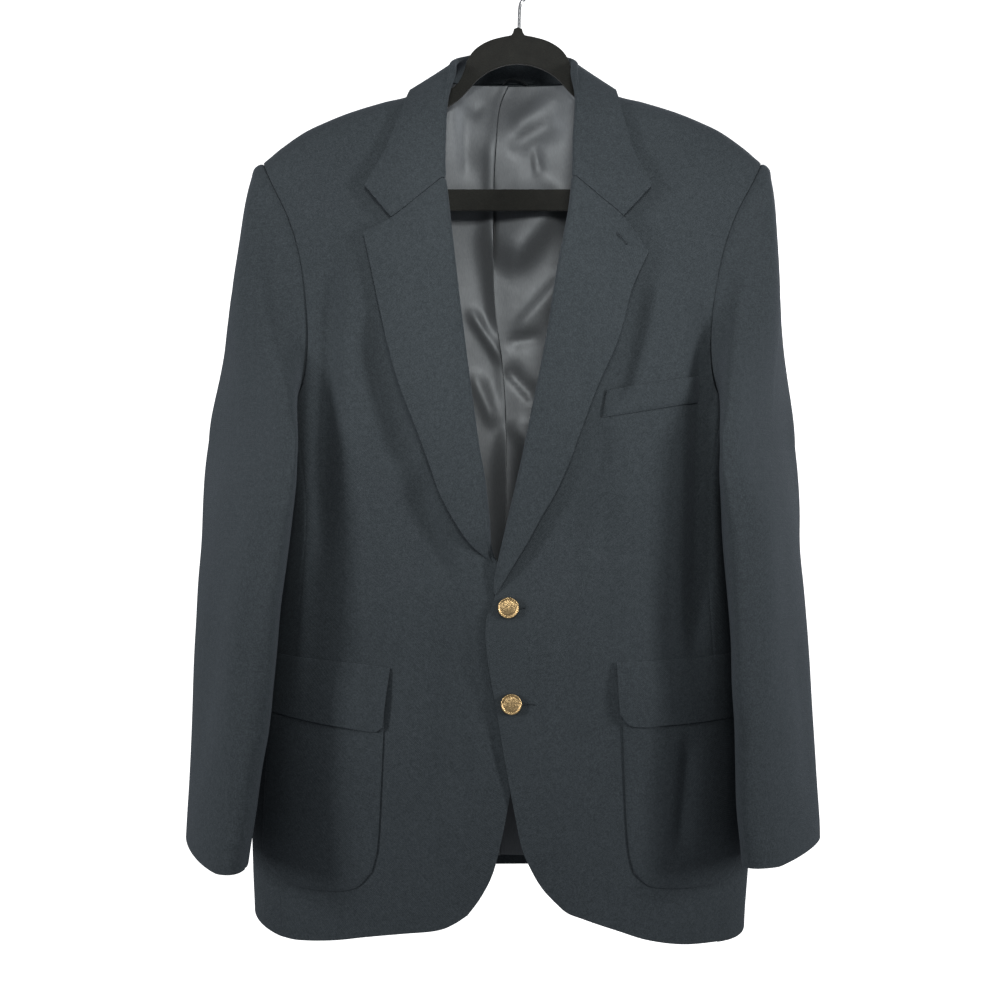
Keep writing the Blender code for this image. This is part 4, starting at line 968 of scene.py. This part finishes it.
# folds in the wearer's right half and in the left half, in the same columns as the fronts'
LINING_RIGHT_FOLDS = [
    (-24, -150, -20, -300, 7, 9, 3), (-24, -236, 4, -380, 13, 26, 15),
    (-46, -336, -2, -402, 5, 7, 6), (-40, -402, -10, -466, 7, 9, 5),
    (-52, -130, -44, -220, 7, 12, -3), (-62, -120, -30, -150, 6, 9, -3),
    (3, -455, 4, -640, 14, 5, 16)]
LINING_LEFT_FOLDS = [
    (58, -222, -12, -304, 34, 15, 15), (62, -300, 0, -372, 7, 15, 5),
    (52, -150, -8, -182, 7, 14, -4.5), (50, -122, -6, -160, 7, 10, 4),
    (22, -176, 27, -212, 3, 6, -3), (38, -366, -6, -374, 4, 9, -4),
    (-6, -398, 30, -438, 4, 9, -5), (2, -452, 30, -500, 7, 10, 4),
    (23, -452, 20, -600, 10, 5, 13)]


def satin():
    mat, tree, shader = new_material("grey_satin", Metallic=0.38, Sheen_Weight=0.15)
    place = object_place(tree)
    drawn = node(tree, "ShaderNodeMapping")
    set_inputs(drawn, Scale=(1, 1, 0.12))
    tree.links.new(place, drawn.inputs["Vector"])
    threads = noise(tree, drawn.outputs[0], 1400, 2)
    wrinkle = noise(tree, place, 38, 4, 0.55)
    colours(tree, shader, SATIN, SATIN_PALE, math_node(tree, "MULTIPLY", threads, 0.8))
    roughness(tree, shader, 0.44, 0.6, wrinkle)
    fine = math_node(tree, "MULTIPLY", threads, 0.02)
    bumped(tree, shader, 0.5, 0.0011, math_node(tree, "ADD", wrinkle, fine))
    return mat


grey_satin = satin()
for side, sign in (("left", 1), ("right", -1)):
    u, v = steps(56, 150)[None, :], steps(150, 760)[:, None]
    top = -115 - 4 * u ** 2
    z = LINING_HEM + (top - LINING_HEM) * v
    half = np.minimum(np.minimum(read(BODY, z)[..., 0] * 0.74, 64 + (-z - 115) * 1.1), 168)
    x = sign * (0.2 + (half - 0.2) * u)
    x = x + read(PLEAT, z)[..., 0] * (1 - ease(u * half / 60))
    depth = face("back", x, z, plain=True)[..., 1]
    off = half * u
    inside = LINING_DEPTH + 1.5 * ease(off / 20)
    if sign > 0:
        inside = inside + folds_at(LINING_LEFT_FOLDS, x, z) * ease(off / 3)
    else:
        inside = inside + PLEAT_STAND * np.exp(-(off / PLEAT_WIDTH) ** 2)
        inside = inside + folds_at(LINING_RIGHT_FOLDS, x, z)
    # held off the back's inner face where a fold runs deep
    inside = CLEAR_OF_BACK + np.log1p(np.exp(inside - CLEAR_OF_BACK))
    grid = np.stack([x, np.maximum(depth - inside, CLEAR_OF_HANGER), z], axis=-1)
    cloth("satin_lining_" + side, grid, WALL_LINING, "lining_" + side,
          flip=sign < 0, mat=grey_satin)


# -------- buttons
# Shank buttons of cast brass with a raised rim and a stippled field, sewn through the
# worked buttonholes.
BRASS = (0.74, 0.53, 0.27)
BRASS_DARK = (0.33, 0.20, 0.08)
BUTTONS = {"button_top": (3.0, -639.6), "button_bottom": (7.3, -731.0)}
# distance from the axis and height off the cloth, from the middle of the face round the
# rim to the end of the shank
BUTTON_PROFILE = [(0, 4.5), (3.0, 4.45), (6.4, 4.1), (7.6, 3.75), (8.1, 3.8), (8.5, 4.3),
                  (9.0, 4.6), (9.6, 4.45), (9.95, 3.9), (10.0, 3.2), (9.6, 2.3), (8.6, 1.9),
                  (1.3, 1.2), (1.1, 0.6), (1.1, -2.9), (0, -2.9)]
WELD = 0.00002


def brass():
    mat, tree, shader = new_material("brass", Metallic=1.0)
    place = object_place(tree)
    worn = noise(tree, place, 330, 4, 0.6)
    colours(tree, shader, BRASS_DARK, BRASS, math_node(tree, "MULTIPLY", worn, 1.6))
    tree.links.new(math_node(tree, "MULTIPLY", worn, 0.7), shader.inputs["Roughness"])
    bumped(tree, shader, 0.8, 0.0006, noise(tree, place, 900, 3))
    return mat


cast_brass = brass()


def welded(bm, name):
    bmesh.ops.remove_doubles(bm, verts=bm.verts, dist=WELD)
    bmesh.ops.recalc_face_normals(bm, faces=bm.faces)
    return mesh_from(bm, name)


for name, (x, z) in BUTTONS.items():
    bm = bmesh.new()
    line = [bm.verts.new((r * MM, -h * MM, 0)) for r, h in BUTTON_PROFILE]
    edges = [bm.edges.new(pair) for pair in zip(line, line[1:])]
    bmesh.ops.spin(bm, geom=line + edges, cent=(0, 0, 0), axis=(0, 1, 0), angle=math.tau,
                   steps=72, use_merge=True)
    mesh = welded(bm, name)
    seat = leaned(face("front_left", x, z)) - (0, GAP, 0)
    mesh.transform(Matrix.Translation(Vector(seat) * MM))
    placed("brass_" + name, mesh, cast_brass, [name])


# -------- worked buttonholes
# Silk twist worked over the cut edges: one behind each button, its far end showing, and
# one near the point of the left lapel.
HOLE_THREAD = 0.5
THREAD_OFF = 0.35
TWISTS = 55
# panel, x and z of the near end, length, fall in degrees towards the far end
HOLES = {"top": ("front_left", -5.0, -639.9, 24.0, 0.6),
         "bottom": ("front_left", 6.3, -731.3, 24.0, 1),
         "lapel": ("lapel", 100.5, -281.5, 16.0, 50.0)}


def on_lapel(x, z):
    """Points on the left lapel's face at these x and z."""
    fall = lapel_grids["left"][:, ROLL_POINTS - 1:].reshape(-1, 3)
    gap = (fall[None, :, 0] - x[:, None]) ** 2 + (fall[None, :, 2] - z[:, None]) ** 2
    return np.stack([x, fall[gap.argmin(axis=1), 1], z], axis=-1)


twist = wool("silk_twist", 0.8)
for name, (panel, x, z, length, drop) in HOLES.items():
    around, sides = 150, 8
    t = np.linspace(0, math.tau, around)
    reach = np.sign(np.cos(t)) * np.abs(np.cos(t)) ** 0.35
    off_long = length / 2 * (1 + reach)
    off_wide = HOLE_THREAD * 1.25 * np.sin(t)
    turn = math.radians(drop)
    cx = x + off_long * math.cos(turn) + off_wide * math.sin(turn)
    cz = z - off_long * math.sin(turn) + off_wide * math.cos(turn)
    line = on_lapel(cx, cz) if panel == "lapel" else face(panel, cx, cz)
    line[:, 1] -= THREAD_OFF
    a = np.linspace(0, math.tau, sides + 1)[:, None]
    thick = HOLE_THREAD * (1 + 0.16 * np.sin(t * TWISTS))[None, :]
    side_x = (np.cos(t) * 0.5 * math.cos(turn) + np.sin(t) * math.sin(turn))[None, :]
    side_z = (-np.cos(t) * 0.5 * math.sin(turn) + np.sin(t) * math.cos(turn))[None, :]
    grid = np.stack([line[:, 0] + np.cos(a) * thick * side_x,
                     line[:, 1] - np.sin(a) * thick,
                     line[:, 2] + np.cos(a) * thick * side_z], axis=-1)
    mesh = welded(bent_grid(leaned(grid)), "worked_hole_" + name)
    placed("worked_hole_" + name, mesh, twist, [])


# -------- hanger and hook
# Slim moulded hanger with a flocked skin and a trouser bar, on a plated wire hook that
# bends back to the middle of the hanger's neck.
# x, z along the hanger's upper outline, and along the lower side of arms and bar
HANGER_UPPER = [
    (1, -66), (3.6, -66.4), (4.6, -70), (7, -73.6), (14, -75), (30, -79.5), (43, -87.5),
    (50, -97), (54, -109), (60, -121), (69, -128), (100, -142), (150, -167), (200, -192.5),
    (222, -206), (231, -219), (232, -232), (226, -243), (215, -247)]
HANGER_LOWER = [
    (1, -100), (14, -101.5), (30, -107.5), (42, -116), (52, -127), (62, -137), (78, -147),
    (110, -163), (150, -183), (190, -202), (212, -215), (214, -222), (207, -228)]
HANGER_MIDDLE = 1.0
HANGER_HALF = 2.5
HANGER_ROUND = 1.2
FLOCK_DARK = (0.0035, 0.0035, 0.003)
FLOCK_PALE = (0.024, 0.025, 0.020)
WIRE = (0.72, 0.73, 0.74, 1)
WIRE_RADIUS = 1.7
HOOK_RADIUS = 19.0
HOOK_FROM, HOOK_TURN, HOOK_STEPS = 200, 250, 48


def flock():
    mat, tree, shader = new_material("black_flock", Roughness=0.95, Sheen_Weight=0.25,
                                     Sheen_Roughness=0.4)
    place = object_place(tree)
    fuzz = noise(tree, place, 700, 3, 0.7)
    worn = math_node(tree, "ADD", noise(tree, place, 90, 3), 0.3)
    colours(tree, shader, FLOCK_DARK, FLOCK_PALE, math_node(tree, "MULTIPLY", fuzz, worn))
    bumped(tree, shader, 0.9, 0.0008, fuzz)
    return mat


def plated():
    mat, tree, shader = new_material("plated_wire", Base_Color=WIRE, Metallic=1.0)
    rub = noise(tree, object_place(tree), 240, 4)
    tree.links.new(math_node(tree, "MULTIPLY", rub, 0.45), shader.inputs["Roughness"])
    return mat


def add_line(curve, points, cyclic=False):
    spline = curve.splines.new("POLY")
    spline.points.add(len(points) - 1)
    for point, p in zip(spline.points, points):
        point.co = (p[0] * MM, p[1] * MM, p[2] * MM, 1)
    spline.use_cyclic_u = cyclic


def from_curve(name, curve, mat, node_name, turn=0.0):
    """The curve's own solid, turned into a mesh that stands at the origin."""
    ob = bpy.data.objects.new(name, curve)
    scene.collection.objects.link(ob)
    mesh = bpy.data.meshes.new_from_object(ob.evaluated_get(
        bpy.context.evaluated_depsgraph_get()))
    bpy.data.objects.remove(ob)
    mesh.transform(Matrix.Rotation(turn, 4, "X"))
    mesh.name = name
    placed(name, mesh, mat, [node_name])


def wire(name, points, radius, resolution, mat, node_name):
    """A round wire or tape through these points."""
    curve = bpy.data.curves.new(name + "_line", "CURVE")
    curve.dimensions = "3D"
    curve.bevel_depth = radius * MM
    curve.bevel_resolution = resolution
    curve.use_fill_caps = True
    add_line(curve, points)
    from_curve(name, curve, mat, node_name)


curve = bpy.data.curves.new("hanger_outline", "CURVE")
curve.dimensions = "2D"
curve.fill_mode = "BOTH"
curve.extrude = (HANGER_HALF - HANGER_ROUND) * MM
curve.bevel_depth = HANGER_ROUND * MM
curve.bevel_resolution = 3
for half in (HANGER_UPPER, HANGER_LOWER):
    right = [(x, z, 0) for x, z in along(half, np.linspace(0, 1, 90))]
    left = [(2 * HANGER_MIDDLE - x, z, 0) for x, z, _ in reversed(right[1:])]
    add_line(curve, right + left, cyclic=True)
from_curve("flocked_hanger", curve, flock(), "hanger", math.pi / 2)

turns = np.radians(HOOK_FROM - HOOK_TURN * np.arange(HOOK_STEPS + 1) / HOOK_STEPS)
points = [(HOOK_RADIUS * math.cos(turn), 0,
           WIRE_RADIUS - HOOK_RADIUS + HOOK_RADIUS * math.sin(turn)) for turn in turns]
x, _, z = points[-1]
stem = [(x, 0, z), (x - 5.5, 0, z - 5.0), (4.5, 0, -39), (3, 0, -44), (2.5, 0, -52),
        (2, 0, -73.2)]
points += [tuple(p) for p in along(stem, np.linspace(0, 1, 30))[1:]]
wire("wire_hook", points, WIRE_RADIUS, 4, plated(), "hanger_hook")


# -------- hanging loop
# Narrow dark tape caught at both ends in the neck seam; it stands up in a low arch
# above the lining's top edge.
LOOP = [(-11, 37.5, -117), (-9.5, 36.8, -110), (-4, 36.4, -105.5), (4, 36.4, -106),
        (13, 36.8, -110.5), (17, 37.5, -117)]
TAPE_RADIUS = 1.1
wire("loop_tape", leaned(along(LOOP, np.linspace(0, 1, 48))), TAPE_RADIUS, 3,
     wool("dark_tape", 0.35), "hanging_loop")
